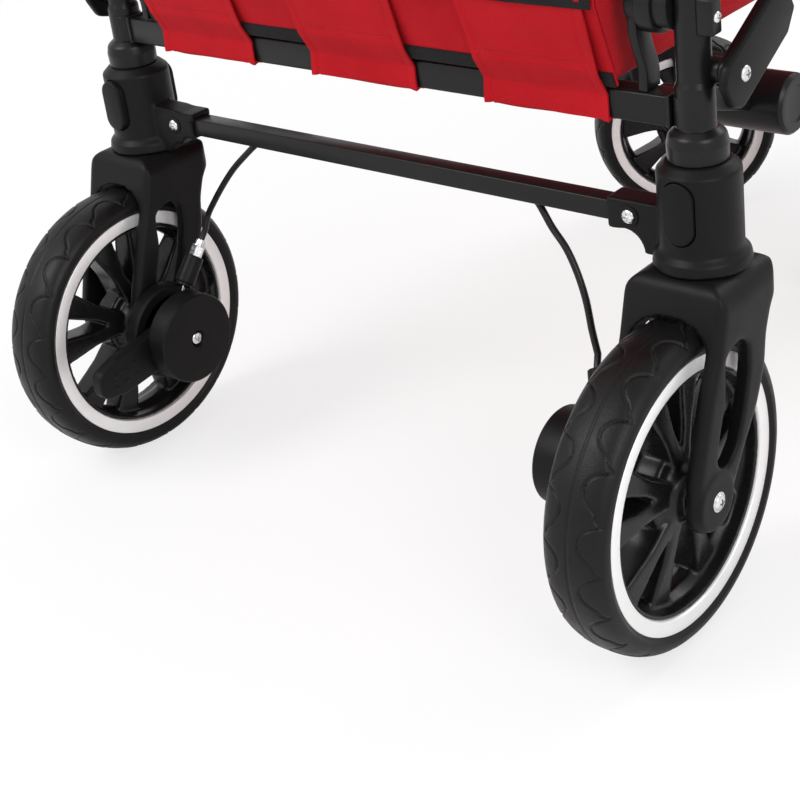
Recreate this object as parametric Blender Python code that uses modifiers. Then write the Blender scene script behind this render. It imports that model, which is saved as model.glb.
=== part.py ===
"""Folding hand-pulled wagon: rear frame, front frame, double scissor sides, four wheels, brake and two handles.

Metres. X is the width, Y the length with the front at +Y, Z is up and the floor is at Z = 0.
"""

import math

import bmesh
import bpy
from mathutils import Matrix, Vector

# Layout
TRACK = 0.600
POST_SPAN = 0.720
GAP = 0.0003

# Rear wheels
REAR_TYRE_R = 0.127
TYRE_WIDTH = 0.053
REAR_RING_R = 0.108
RING_DEPTH = 0.0115
RING_WIDTH = 0.0488
REAR_TRAIL = 0.064
WHEEL_SIDES = 32
SPOKES = 5
SPOKE_SPREAD = math.radians(15)
SPOKE_W = 0.013
SPOKE_DEPTH = 0.026
HUB_R = 0.023
HUB_WIDTH = 0.057
AXLE_R = 0.006

# Front caster wheels
FRONT_TYRE_R = 0.105
FRONT_RING_R = 0.088
FRONT_RING_DEPTH = 0.0095
FRONT_TRAIL = 0.050
FRONT_SIDES = 28
CASTER_X = 0.155
CASTER_SETBACK = 0.116
LEFT_CASTER_YAW = math.radians(130)

# Forks
FORK_W = 0.088
FORK_WALL = 0.013
ARCH_CLEAR = 0.0035
ARCH_RISE = 0.019
CROWN_H = 0.026
CROWN_HALF = 0.036
LEG_END_R = 0.026
SLOT_W = 0.022
STEM_IN_SLEEVE = 0.0165

# Posts, sleeves and rails
POST_R = 0.0125
POST_WALL = 0.0017
POST_TOP = 0.868
CASTING_R = 0.0142
CASTING_TOP = 0.417
NECK_R = 0.022
NECK_H = 0.0231
SLEEVE_R = 0.0305
SLEEVE_H = 0.079
FLANGE_R = 0.0365
FLANGE_H = 0.009
RAIL_BOTTOM = 0.3854
RAIL_H = 0.0226
RAIL_D = 0.020
RAIL_WALL = 0.0015
UPPER_RAIL_Z = 0.838
UPPER_RAIL_R = 0.011

# Crossbar and the brackets that hold it
BAR_SIZE = 0.016
BAR_WALL = 0.0012
BAR_Z = 0.3117
BRACKET_END = 0.2265
BRACKET_WALL = 0.0032
BAR_HOLE_LEFT = -0.149
BAR_HOLE_RIGHT = 0.154
BAR_SCREW_X = 0.2459

# Quick-release buttons
BUTTON_W = 0.024
BUTTON_H = 0.048
BUTTON_Z = 0.330
BUTTON_PROUD_LEFT = 0.0045
BUTTON_PROUD_RIGHT = 0.0012
BUTTON_POCKET = 0.0125
BUTTON_DEPTH = 0.0080

# Brake
DRUM_R = 0.045
DRUM_T = 0.0158
ARM_T = 0.0132
COVER_R_LEFT = 0.042
COVER_R_RIGHT = 0.039
COVER_T = 0.0215
ARM_GAP = 0.0006
PEDAL_HUB_R = 0.028
PEDAL_REACH = 0.0855
PEDAL_DROP = 0.012
PEDAL_R = 0.0175
BARREL_R = 0.0066
CABLE_R = 0.00275

# Hub below the floor
STUB_R = 0.024
STUB_AHEAD = 0.140
STUB_Z = 0.353
STUB_IN = 0.236
STUB_OUT = 0.300

# Scissor sides
LINK_Z = 0.425
LINK_ANGLE = math.radians(28.5)
PIVOT_IN = 0.009
LINK_H = 0.022
LINK_T = 0.009
LINK_STANDOFF = 0.023
LINK_SLIP = 0.0025
PIN_R = 0.004
PIN_HEAD_R = 0.007
PIN_HEAD_T = 0.003
BOSS_R = 0.0094
COLLAR_R = 0.0185
COLLAR_H = 0.036

# Push handle
HANDLE_Z = 0.884
HANDLE_LEAN = math.radians(25)
HANDLE_LENGTH = 0.180
HANDLE_R = 0.011
HANDLE_BEND = 0.045
HANDLE_HUB_R = 0.025
HANDLE_HUB_IN = 0.285
HANDLE_HUB_T = 0.033
HANDLE_DISC_R = 0.022
HANDLE_DISC_T = 0.023
GRIP_R = 0.0165
GRIP_LENGTH = 0.400

# Pull handle
PULL_AHEAD = 0.065
PULL_Z = 0.397
PULL_LEAN = math.radians(2.5)
PULL_TUBE_R = 0.0125
PULL_TUBE_LENGTH = 0.430
PULL_INNER_R = 0.0095
PULL_WALL = 0.0015
PULL_EAR_R = 0.018
PULL_EAR_T = 0.005
PULL_BOSS_R = 0.016
PULL_BOSS_W = 0.028
PULL_GRIP_W = 0.130
PULL_GRIP_R = 0.014

# Fabric tub and its end panels
TUB_CLEAR = 0.055
TUB_FLOOR = 0.4105
TUB_TOP = 0.700
TUB_HEM_Z = 0.478
TUB_LEAN = 0.0235
TUB_CLOTH = 0.004
PANEL_T = 0.003
STRAP_W = 0.114
STRAP_T = 0.0025
STRAP_INSET = 0.0085
BINDING_H = 0.016

# Values that follow from the ones above
POST_X = TRACK / 2
REAR_REACH = REAR_TRAIL + REAR_TYRE_R
FRONT_REACH = PULL_AHEAD + PULL_EAR_R
REAR_Y = (REAR_REACH - FRONT_REACH - POST_SPAN) / 2
FRONT_Y = REAR_Y + POST_SPAN
REAR_AXLE_Z = REAR_TYRE_R * math.cos(math.pi / WHEEL_SIDES)
FRONT_AXLE_Z = FRONT_TYRE_R * math.cos(math.pi / FRONT_SIDES)
REAR_CROWN_Z = REAR_AXLE_Z + REAR_TYRE_R + ARCH_CLEAR + CROWN_H
FRONT_CROWN_Z = FRONT_AXLE_Z + FRONT_TYRE_R + ARCH_CLEAR + CROWN_H
SLEEVE_TOP = REAR_CROWN_Z + GAP + SLEEVE_H
NECK_Z = SLEEVE_TOP + GAP
STEM_BOTTOM = REAR_CROWN_Z + STEM_IN_SLEEVE + GAP
BORE_R = POST_R + GAP
RAIL_TOP = RAIL_BOTTOM + RAIL_H
RAIL_MID = RAIL_BOTTOM + RAIL_H / 2
FORK_IN = FORK_W / 2 - FORK_WALL
DRUM_OUT = POST_X - FORK_W / 2 - GAP
DRUM_IN = DRUM_OUT - DRUM_T
ARM_OUT = DRUM_IN - ARM_GAP
ARM_IN = ARM_OUT - ARM_T
COVER_OUT = ARM_IN - ARM_GAP
COVER_IN = COVER_OUT - COVER_T
LINK_RUN = POST_SPAN / 2 - PIVOT_IN
LINK_LENGTH = LINK_RUN / math.cos(LINK_ANGLE)
LINK_TOP = LINK_Z + LINK_RUN * math.tan(LINK_ANGLE)
LINK_MID = (LINK_Z + LINK_TOP) / 2
REAR_PIVOT_Y = REAR_Y + PIVOT_IN
FRONT_PIVOT_Y = FRONT_Y - PIVOT_IN
MID_Y = (REAR_Y + FRONT_Y) / 2
PULL_Y = FRONT_Y + PULL_AHEAD
LINK_PLANE_A = POST_X + LINK_STANDOFF
LINK_PLANE_B = LINK_PLANE_A + LINK_T + LINK_SLIP
TUB_W = 2 * (POST_X - TUB_CLEAR)
STRAP_X = TUB_W / 2 - STRAP_INSET - STRAP_W / 2

LOOKS = {
    "black plastic": ((0.022, 0.022, 0.024), 0.48, 0.0),
    "powder coat": ((0.030, 0.030, 0.033), 0.36, 0.0),
    "rubber": ((0.016, 0.016, 0.017), 0.72, 0.0),
    "silver": ((0.78, 0.78, 0.79), 0.24, 0.9),
    "zinc": ((0.62, 0.62, 0.64), 0.30, 1.0),
    "red cloth": ((0.50, 0.010, 0.016), 0.85, 0.0),
    "foam": ((0.020, 0.020, 0.022), 0.90, 0.0),
    "alloy": ((0.42, 0.42, 0.44), 0.32, 0.9),
}

for old in list(bpy.data.objects):
    bpy.data.objects.remove(old, do_unlink=True)

wagon = bpy.data.collections.new("hand_pulled_wagon")
shapes = bpy.data.collections.new("cutters")
bpy.context.scene.collection.children.link(wagon)
bpy.context.scene.collection.children.link(shapes)


def helper(name, data):
    """A hidden working shape, which is cut, joined or kept later."""
    obj = bpy.data.objects.new(name, data)
    shapes.objects.link(obj)
    obj.hide_render = True
    obj.display_type = "WIRE"
    return obj


def solid(name, bm):
    bmesh.ops.recalc_face_normals(bm, faces=bm.faces)
    mesh = bpy.data.meshes.new(name)
    bm.to_mesh(mesh)
    bm.free()
    mesh.shade_smooth()
    mesh.set_sharp_from_angle(angle=math.radians(35))
    return helper(name, mesh)


def block(low, high, bevel=0.0):
    """A box between two opposite corners, with its edges rounded where bevel is set."""
    low, high = Vector(low), Vector(high)
    bm = bmesh.new()
    bmesh.ops.create_cube(bm, size=1.0)
    bmesh.ops.scale(bm, vec=[abs(size) for size in high - low], verts=bm.verts)
    bmesh.ops.translate(bm, vec=(low + high) / 2, verts=bm.verts)
    if bevel:
        bmesh.ops.bevel(bm, geom=bm.edges[:], offset=bevel, segments=1, affect="EDGES", profile=0.5)
    return solid("block", bm)


def rod(start, end, radius, sides=12, end_radius=None):
    """A round bar, or a cone where end_radius is set, between two points."""
    start, end = Vector(start), Vector(end)
    along = end - start
    turn = along.to_track_quat("Z", "Y").to_matrix().to_4x4()
    bm = bmesh.new()
    bmesh.ops.create_cone(
        bm,
        cap_ends=True,
        segments=sides,
        radius1=radius,
        radius2=radius if end_radius is None else end_radius,
        depth=along.length,
        matrix=Matrix.Translation((start + end) / 2) @ turn,
    )
    return solid("rod", bm)


def turned(profile, sides, centre=(0, 0, 0), across=False):
    """A ring turned from (radius, height) points that run down its outer side and up its bore."""
    mesh = bpy.data.meshes.new("turned")
    points = [(radius, 0, height) for radius, height in profile]
    count = len(points)
    mesh.from_pydata(points, [(i, (i + 1) % count) for i in range(count)], [])
    obj = helper("turned", mesh)
    screw = obj.modifiers.new("Screw", "SCREW")
    screw.steps = screw.render_steps = sides
    screw.use_merge_vertices = True
    screw.merge_threshold = 0.00001
    obj.location = centre
    if across:
        obj.rotation_mode = "ZYX"
        obj.rotation_euler = (0, math.pi / 2, math.pi / sides)
    return obj


def as_mesh(curve):
    """The mesh of a curve, with its caps welded to its sides."""
    graph = bpy.context.evaluated_depsgraph_get()
    mesh = bpy.data.meshes.new_from_object(curve.evaluated_get(graph))
    bm = bmesh.new()
    bm.from_mesh(mesh)
    bmesh.ops.remove_doubles(bm, verts=bm.verts, dist=0.000001)
    obj = solid(curve.name, bm)
    obj.matrix_world = curve.matrix_world
    bpy.data.objects.remove(curve)
    bpy.data.meshes.remove(mesh)
    return obj


def plate(outline, low, high, view="side", holes=()):
    """A flat outline given in side view (Y, Z) or front view (X, Z), between two depths along X or Y."""
    data = bpy.data.curves.new("plate", "CURVE")
    data.dimensions = "2D"
    data.fill_mode = "BOTH"
    data.extrude = abs(high - low) / 2
    for points in [outline, *holes]:
        spline = data.splines.new("POLY")
        spline.points.add(len(points) - 1)
        for point, (across, up) in zip(spline.points, points):
            point.co = (across, up, 0, 1)
        spline.use_cyclic_u = True
    obj = helper("plate", data)
    middle = (low + high) / 2
    if view == "side":
        obj.matrix_world = Matrix(((0, 0, 1, middle), (1, 0, 0, 0), (0, 1, 0, 0), (0, 0, 0, 1)))
    else:
        obj.matrix_world = Matrix(((1, 0, 0, 0), (0, 0, -1, middle), (0, 1, 0, 0), (0, 0, 0, 1)))
    bpy.context.view_layer.update()
    return as_mesh(obj)


def tube(points, radius, resolution=2):
    """A round bar along a line of points."""
    data = bpy.data.curves.new("tube", "CURVE")
    data.dimensions = "3D"
    data.bevel_depth = radius
    data.bevel_resolution = resolution
    data.use_fill_caps = True
    spline = data.splines.new("POLY")
    spline.points.add(len(points) - 1)
    for point, place in zip(spline.points, points):
        point.co = (*place, 1)
    return as_mesh(helper("tube", data))


def combine(obj, operation, others):
    for other in others:
        modifier = obj.modifiers.new(operation.title(), "BOOLEAN")
        modifier.operation = operation
        modifier.solver = "EXACT"
        modifier.object = other
    return obj


def join(obj, *others):
    return combine(obj, "UNION", others)


def cut(obj, *others):
    return combine(obj, "DIFFERENCE", others)


def soften(obj, width, segments=2):
    """Rounds the sharp edges of a shape."""
    bevel = obj.modifiers.new("Bevel", "BEVEL")
    bevel.width = width
    bevel.segments = segments
    bevel.limit_method = "ANGLE"
    bevel.angle_limit = math.radians(50)
    return obj


def carry(obj, home):
    """Hangs a shape, and the shapes that cut or join it, on one empty, at their places in its frame."""
    obj.parent = home
    for modifier in obj.modifiers:
        if modifier.type == "BOOLEAN":
            carry(modifier.object, home)


def keep(obj, name, look, home):
    """Makes a working shape a piece of the wagon, with its own material."""
    shapes.objects.unlink(obj)
    wagon.objects.link(obj)
    obj.name = obj.data.name = name
    obj.hide_render = False
    obj.display_type = "TEXTURED"
    colour, roughness, metallic = LOOKS[look]
    material = bpy.data.materials.new(name)
    material.use_nodes = True
    shader = material.node_tree.nodes["Principled BSDF"]
    shader.inputs["Base Color"].default_value = (*colour, 1.0)
    shader.inputs["Roughness"].default_value = roughness
    shader.inputs["Metallic"].default_value = metallic
    obj.data.materials.append(material)
    carry(obj, home)
    return obj


def pivot(name, place, yaw=0.0):
    """An empty on a joint's axis."""
    empty = bpy.data.objects.new(name, None)
    empty.empty_display_size = 0.03
    empty.location = place
    empty.rotation_euler = (0, 0, yaw)
    wagon.objects.link(empty)
    return empty


def circle(centre, radius, sides=12, start=0.0, sweep=math.tau):
    """Points round a circle, or along an arc of it with both ends."""
    steps = sides if sweep == math.tau else sides + 1
    return [
        (
            centre[0] + radius * math.cos(start + sweep * i / sides),
            centre[1] + radius * math.sin(start + sweep * i / sides),
        )
        for i in range(steps)
    ]


def stadium(start, end, radius, sides=6):
    """The outline of a bar with round ends."""
    angle = math.atan2(end[1] - start[1], end[0] - start[0])
    return circle(end, radius, sides, angle - math.pi / 2, math.pi) + circle(
        start, radius, sides, angle + math.pi / 2, math.pi
    )


def rounded(points, radius, steps=5):
    """A path with an arc at each of its inner corners."""
    path = [Vector(points[0])]
    for before, corner, after in zip(points, points[1:], points[2:]):
        before, corner, after = Vector(before), Vector(corner), Vector(after)
        back = (before - corner).normalized()
        ahead = (after - corner).normalized()
        half = back.angle(ahead) / 2
        centre = corner + (back + ahead).normalized() * radius / math.sin(half)
        first = corner + back * radius / math.tan(half) - centre
        last = corner + ahead * radius / math.tan(half) - centre
        for i in range(steps + 1):
            path.append(centre + first.slerp(last, i / steps).normalized() * radius)
    path.append(Vector(points[-1]))
    return path


def smooth(points, steps):
    """Points along a smooth curve through the given ones."""
    ends = [2 * Vector(points[0]) - Vector(points[1]), *map(Vector, points), 2 * Vector(points[-1]) - Vector(points[-2])]
    path = []
    for a, b, c, d in zip(ends, ends[1:], ends[2:], ends[3:]):
        for i in range(steps):
            t = i / steps
            path.append(
                0.5 * (2 * b + (c - a) * t + (2 * a - 5 * b + 4 * c - d) * t**2 + (3 * b - a - 3 * c + d) * t**3)
            )
    path.append(ends[-2])
    return path


def tyre(tyre_r, ring_r, sides):
    """Round-shouldered tyre with a flat tread, turned about the axle."""
    half = TYRE_WIDTH / 2
    bore = ring_r + GAP
    upper = [(bore, half - 0.0015), (tyre_r - 0.0085, half), (tyre_r - 0.0020, half - 0.0085), (tyre_r, half - 0.0165)]
    profile = upper + [(radius, -height) for radius, height in reversed(upper)]
    return turned(profile, sides, across=True)


def band(outer, inner, width, sides, centre=(0, 0, 0)):
    """A plain ring about the X axis."""
    half = width / 2
    return turned([(outer, half), (outer, -half), (inner, -half), (inner, half)], sides, centre, across=True)


def rim(outer, depth, width, sides):
    """Hub, paired spokes and outer band, with a bore for the axle."""
    wheel = band(outer, outer - depth, width, sides)
    hub = rod((-HUB_WIDTH / 2, 0, 0), (HUB_WIDTH / 2, 0, 0), HUB_R, 16)
    spokes = []
    for i in range(SPOKES):
        middle = math.tau * i / SPOKES + math.pi / 2
        for side in (-1, 1):
            foot = Vector((0, math.cos(middle), math.sin(middle))) * HUB_R * 0.6
            tip_angle = middle + side * SPOKE_SPREAD
            tip = Vector((0, math.cos(tip_angle), math.sin(tip_angle))) * (outer - 0.0025)
            along = tip - foot
            bm = bmesh.new()
            bmesh.ops.create_cube(bm, size=1.0)
            bmesh.ops.scale(bm, vec=(SPOKE_DEPTH, SPOKE_W, along.length), verts=bm.verts)
            lean = math.atan2(-along.y, along.z)
            place = Matrix.Translation((foot + tip) / 2) @ Matrix.Rotation(lean, 4, "X")
            bmesh.ops.transform(bm, matrix=place, verts=bm.verts)
            spokes.append(solid("spoke", bm))
    join(hub, *spokes)
    join(wheel, hub)
    return cut(wheel, rod((-HUB_WIDTH, 0, 0), (HUB_WIDTH, 0, 0), AXLE_R + GAP))


def fork(tyre_r, trail, size):
    """Fork in the wheel's frame: axle at the origin, stem axis ahead of it by the trail."""
    top = tyre_r + ARCH_CLEAR + CROWN_H
    crown = CROWN_HALF * size

    def edge(share, offset):
        return (trail * share + offset * size, top * share)

    end = circle((0, 0), LEG_END_R * size, 6, math.radians(155), math.radians(180))
    outline = [
        (trail - crown, top),
        (trail - crown, top * 0.88),
        edge(0.51, -0.0227),
        edge(0.24, -0.036),
        *end,
        edge(0.10, 0.036),
        edge(0.434, 0.037),
        edge(0.72, 0.024),
        (trail + crown, top * 0.86),
        (trail + crown, top),
    ]
    half = FORK_W / 2
    body = soften(plate(outline, -half, half), 0.003, 1)
    spring = tyre_r + ARCH_CLEAR - ARCH_RISE
    arch = [(FORK_IN * math.cos(math.pi * i / 8), spring + ARCH_RISE * math.sin(math.pi * i / 8)) for i in range(9)]
    channel = plate([(FORK_IN, -0.06), *arch, (-FORK_IN, -0.06)], -0.08, 0.20, "front")
    slot_foot, slot_head = edge(0.22, 0.0), edge(0.66, -0.002)
    windows = plate(stadium(slot_foot, slot_head, SLOT_W * size / 2, 5), -half - 0.01, half + 0.01)
    return cut(body, channel, windows)


def wheel_pin(inner, outer, side, head=0.0095):
    """Axle along X with a screw head at its outer end."""
    shaft = rod((side * inner, 0, 0), (side * (outer + 0.001), 0, 0), AXLE_R)
    cap = rod((side * outer, 0, 0), (side * (outer + 0.0035), 0, 0), head, 12, head * 0.75)
    return join(shaft, cap)


def rear_wheel(side, word):
    """One rear wheel, its fork, its axle and the brake parts on the axle."""
    home = pivot(f"rear_wheel_axis_{word}", (side * POST_X, REAR_Y - REAR_TRAIL, REAR_AXLE_Z))
    keep(tyre(REAR_TYRE_R, REAR_RING_R, WHEEL_SIDES), f"rear_tyre_{word}", "rubber", home)
    ring = band(REAR_RING_R, REAR_RING_R - RING_DEPTH, RING_WIDTH, WHEEL_SIDES)
    keep(ring, f"rear_ring_{word}", "silver", home)
    keep(rim(REAR_RING_R - RING_DEPTH - GAP, 0.005, RING_WIDTH - 0.005, WHEEL_SIDES), f"rear_rim_{word}", "black plastic", home)

    body = fork(REAR_TYRE_R, REAR_TRAIL, 1.0)
    top = REAR_TYRE_R + ARCH_CLEAR + CROWN_H
    join(body, rod((0, REAR_TRAIL, top - 0.004), (0, REAR_TRAIL, top + STEM_IN_SLEEVE), POST_R, 16))
    cut(body, rod((-0.06, 0, 0), (0.06, 0, 0), AXLE_R + GAP))
    keep(body, f"rear_fork_{word}", "black plastic", home)

    cover_in = COVER_IN - POST_X
    axle = wheel_pin(cover_in - 0.001, FORK_W / 2 + GAP, side)
    inner_head = rod((side * (cover_in - GAP), 0, 0), (side * (cover_in - GAP - 0.0035), 0, 0), 0.0075, 12, 0.0055)
    keep(join(axle, inner_head), f"rear_axle_{word}", "zinc", home)

    bore = rod((side * (COVER_IN - 0.01 - POST_X), 0, 0), (side * (DRUM_OUT + 0.005 - POST_X), 0, 0), AXLE_R + GAP)
    drum = rod(
        (side * (DRUM_IN - POST_X), 0, 0), (side * (DRUM_OUT - POST_X), 0, 0), DRUM_R, 24
    )
    drum = cut(drum, bore)
    if side > 0:
        level = (ARM_IN + ARM_OUT) / 2 - POST_X
        stop = rod((side * level, *cable_end(0.0)), (side * level, *cable_end(0.026)), BARREL_R, 10)
        foot = block((side * level, 0.012, 0.030), (side * (DRUM_IN + 0.002 - POST_X), 0.024, 0.042))
        drum = join(drum, stop, foot)
    keep(drum, f"brake_drum_{word}", "black plastic", home)

    cover_r = COVER_R_RIGHT if side > 0 else COVER_R_LEFT
    cover = rod((side * (COVER_IN - POST_X), 0, 0), (side * (COVER_OUT - POST_X), 0, 0), cover_r, 24)
    bore = rod((side * (COVER_IN - 0.01 - POST_X), 0, 0), (side * (DRUM_OUT + 0.005 - POST_X), 0, 0), AXLE_R + GAP)
    keep(cut(soften(cover, 0.003, 1), bore), f"brake_cover_{word}", "black plastic", home)
    return home


def cable_end(along):
    """Place in the wheel's side view, this far along the line on which a brake cable meets its unit."""
    direction = Vector((0.033, 0.036)).normalized()
    place = Vector((0.0165, 0.0405)) + direction * along
    return place.x, place.y


def brake_lever(side, name, reach, drop, radius, home):
    """Lever with a round hub on the axle."""
    low, high = sorted((side * (ARM_IN - POST_X), side * (ARM_OUT - POST_X)))
    hub = rod((low, 0, 0), (high, 0, 0), PEDAL_HUB_R, 20)
    arm = plate(stadium((0, 0), (-reach, -drop), radius), low + 0.0005, high - 0.0005)
    bore = rod((low - 0.01, 0, 0), (high + 0.01, 0, 0), AXLE_R + GAP)
    keep(cut(join(hub, arm), bore), name, "black plastic", home)


def rear_post(side, word, home):
    """Hollow post with its neck, casting, link boss and the plates above the boss."""
    x = side * POST_X
    bore = POST_R - POST_WALL
    profile = [
        (POST_R, POST_TOP),
        (POST_R, CASTING_TOP),
        (CASTING_R, CASTING_TOP - 0.001),
        (CASTING_R, NECK_Z + NECK_H),
        (NECK_R, NECK_Z + NECK_H - 0.004),
        (NECK_R, NECK_Z),
        (POST_R, NECK_Z),
        (POST_R, STEM_BOTTOM),
        (bore, STEM_BOTTOM),
        (bore, POST_TOP),
    ]
    post = turned(profile, 16, (x, REAR_Y, 0))
    inner = LINK_PLANE_A - LINK_T / 2
    boss = rod((x + side * POST_R * 0.8, REAR_PIVOT_Y, LINK_Z), (side * (inner - GAP), REAR_PIVOT_Y, LINK_Z), BOSS_R)
    pin = pivot_pin(side, inner - 0.003, LINK_PLANE_A + LINK_T / 2, REAR_PIVOT_Y, LINK_Z)
    plates = block((x - side * 0.040, REAR_Y - 0.008, 0.455), (x - side * POST_R * 0.8, REAR_Y + 0.008, 0.500))
    lug = block((x + side * POST_R * 0.8, REAR_Y - 0.010, 0.454), (side * (LINK_PLANE_A - 0.001), REAR_Y + 0.003, 0.480))
    keep(join(post, boss, *pin, plates, lug), f"rear_post_{word}", "powder coat", home)


def pivot_pin(side, start, face, y, z):
    """Shaft through a link and the head on its far face."""
    way = 1 if face > start else -1
    shaft = rod((side * start, y, z), (side * (face + way * (GAP + 0.001)), y, z), PIN_R, 8)
    head = rod((side * (face + way * GAP), y, z), (side * (face + way * (GAP + PIN_HEAD_T)), y, z), PIN_HEAD_R, 10)
    return shaft, head


def sleeve(side, word, home):
    """Sleeve round the post's stem, with its flange, its crossbar bracket and the pocket for the button."""
    x = side * POST_X
    bottom = REAR_CROWN_Z + GAP
    profile = [
        (0.0235, SLEEVE_TOP),
        (SLEEVE_R, SLEEVE_TOP - 0.0065),
        (SLEEVE_R, bottom + FLANGE_H + 0.002),
        (FLANGE_R, bottom + FLANGE_H),
        (FLANGE_R, bottom),
        (BORE_R, bottom),
        (BORE_R, SLEEVE_TOP),
    ]
    body = turned(profile, 24, (x, REAR_Y, 0))
    reach = BAR_SIZE / 2 + BRACKET_WALL
    low, high = BAR_Z - reach - 0.007, BAR_Z + reach + 0.004
    outline = [
        (BRACKET_END, BAR_Z - reach),
        (0.2335, BAR_Z - reach),
        (0.2454, BAR_Z - reach - 0.0065),
        (0.2516, low - 0.010),
        (DRUM_OUT - 0.0005, low - 0.012),
        (DRUM_OUT - 0.0005, bottom),
        (0.279, bottom),
        (0.279, high + 0.008),
        (0.243, high + 0.008),
        (0.240, high),
        (BRACKET_END, high),
    ]
    bracket = plate([(side * u, v) for u, v in outline], REAR_Y - reach, REAR_Y + reach, "front")
    socket_end = 0.262
    hold = BAR_SIZE / 2 + GAP
    socket = block((side * (BRACKET_END - 0.01), REAR_Y - hold, BAR_Z - hold), (side * socket_end, REAR_Y + hold, BAR_Z + hold))
    screw_hole = rod((side * BAR_SCREW_X, REAR_Y - 0.03, BAR_Z), (side * BAR_SCREW_X, REAR_Y + 0.03, BAR_Z), 0.0035, 8)
    cut(bracket, socket, screw_hole)
    pocket = plate(
        stadium((x, BUTTON_Z - (BUTTON_H - BUTTON_W) / 2), (x, BUTTON_Z + (BUTTON_H - BUTTON_W) / 2), BUTTON_W / 2 + GAP, 6),
        REAR_Y - SLEEVE_R - 0.01,
        REAR_Y - SLEEVE_R + BUTTON_POCKET,
        "front",
    )
    keep(cut(join(body, bracket), pocket), f"rear_sleeve_{word}", "black plastic", home)


def button(side, word, proud):
    """Oval quick-release button, which slides into the sleeve."""
    x = side * POST_X
    home = pivot(f"button_axis_{word}", (x, REAR_Y - SLEEVE_R, BUTTON_Z))
    straight = (BUTTON_H - BUTTON_W) / 2
    outline = stadium((0, -straight), (0, straight), BUTTON_W / 2, 6)
    pad = plate(outline, -proud, BUTTON_DEPTH, "front")
    keep(soften(pad, min(proud * 0.8, 0.002), 1), f"wheel_button_{word}", "black plastic", home)


def pipe_across(y, z, reach, radius, wall, sides=16):
    inner = radius - wall
    return turned([(radius, reach), (radius, -reach), (inner, -reach), (inner, reach)], sides, (0, y, z), across=True)


def lower_rail(y):
    """Hollow flat-sided rail with an end plate at each casting."""
    end = POST_X - CASTING_R - GAP
    half = RAIL_D / 2
    rail = block((-end + 0.001, y - half, RAIL_BOTTOM), (end - 0.001, y + half, RAIL_TOP))
    plates = [
        block((side * end, y - half - 0.0015, RAIL_BOTTOM), (side * (end - 0.003), y + half + 0.0015, RAIL_TOP + 0.0012))
        for side in (-1, 1)
    ]
    inside = block(
        (-end - 0.01, y - half + RAIL_WALL, RAIL_BOTTOM + RAIL_WALL), (end + 0.01, y + half - RAIL_WALL, RAIL_TOP - RAIL_WALL)
    )
    return join(rail, *plates), inside


def rear_frame(home):
    for side, word in ((-1, "left"), (1, "right")):
        rear_post(side, word, home)
        sleeve(side, word, home)
    rail, inside = lower_rail(REAR_Y)
    rail = cut(rail, inside)
    for side in (-1, 1):
        arm_x = (STUB_IN + STUB_OUT) / 2
        arm = plate(
            stadium((REAR_Y + RAIL_D / 2 + 0.006, RAIL_MID), (REAR_Y + STUB_AHEAD, STUB_Z), 0.0085),
            side * (arm_x - 0.006),
            side * (arm_x + 0.006),
        )
        stub = rod((side * STUB_IN, REAR_Y + STUB_AHEAD, STUB_Z), (side * STUB_OUT, REAR_Y + STUB_AHEAD, STUB_Z), STUB_R, 20)
        foot = block(
            (side * (arm_x - 0.006), REAR_Y + RAIL_D / 2 - 0.001, RAIL_BOTTOM + 0.002),
            (side * (arm_x + 0.006), REAR_Y + RAIL_D / 2 + 0.010, RAIL_TOP - 0.002),
        )
        join(rail, arm, soften(stub, 0.003, 1), foot)
    keep(rail, "rear_lower_rail", "powder coat", home)
    reach = POST_X - POST_R - GAP
    keep(pipe_across(REAR_Y, UPPER_RAIL_Z, reach, UPPER_RAIL_R, POST_WALL), "rear_upper_rail", "powder coat", home)


def crossbar(home):
    """Hollow square bar between the brackets, with its screws and the slots for the brake cable."""
    half = BAR_SIZE / 2
    end = 0.260
    bar = block((-end, REAR_Y - half, BAR_Z - half), (end, REAR_Y + half, BAR_Z + half))
    inner = half - BAR_WALL
    inside = block((-end - 0.01, REAR_Y - inner, BAR_Z - inner), (end + 0.01, REAR_Y + inner, BAR_Z + inner))
    slots = []
    for hole in (BAR_HOLE_LEFT, BAR_HOLE_RIGHT):
        slots.append(block((hole - 0.010, REAR_Y - 0.0045, BAR_Z - half - 0.01), (hole + 0.010, REAR_Y + 0.0045, BAR_Z)))
    cut(bar, inside, *slots)
    reach = half + BRACKET_WALL
    for side in (-1, 1):
        x = side * BAR_SCREW_X
        shank = rod((x, REAR_Y - reach - 0.001, BAR_Z), (x, REAR_Y + reach + 0.001, BAR_Z), 0.003, 8)
        head = rod((x, REAR_Y - reach - GAP, BAR_Z), (x, REAR_Y - reach - 0.0035, BAR_Z), 0.0065, 10, 0.005)
        nut = rod((x, REAR_Y + reach + GAP, BAR_Z), (x, REAR_Y + reach + 0.004, BAR_Z), 0.0055, 6)
        join(bar, shank, head, nut)
    keep(bar, "crossbar", "powder coat", home)


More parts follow.
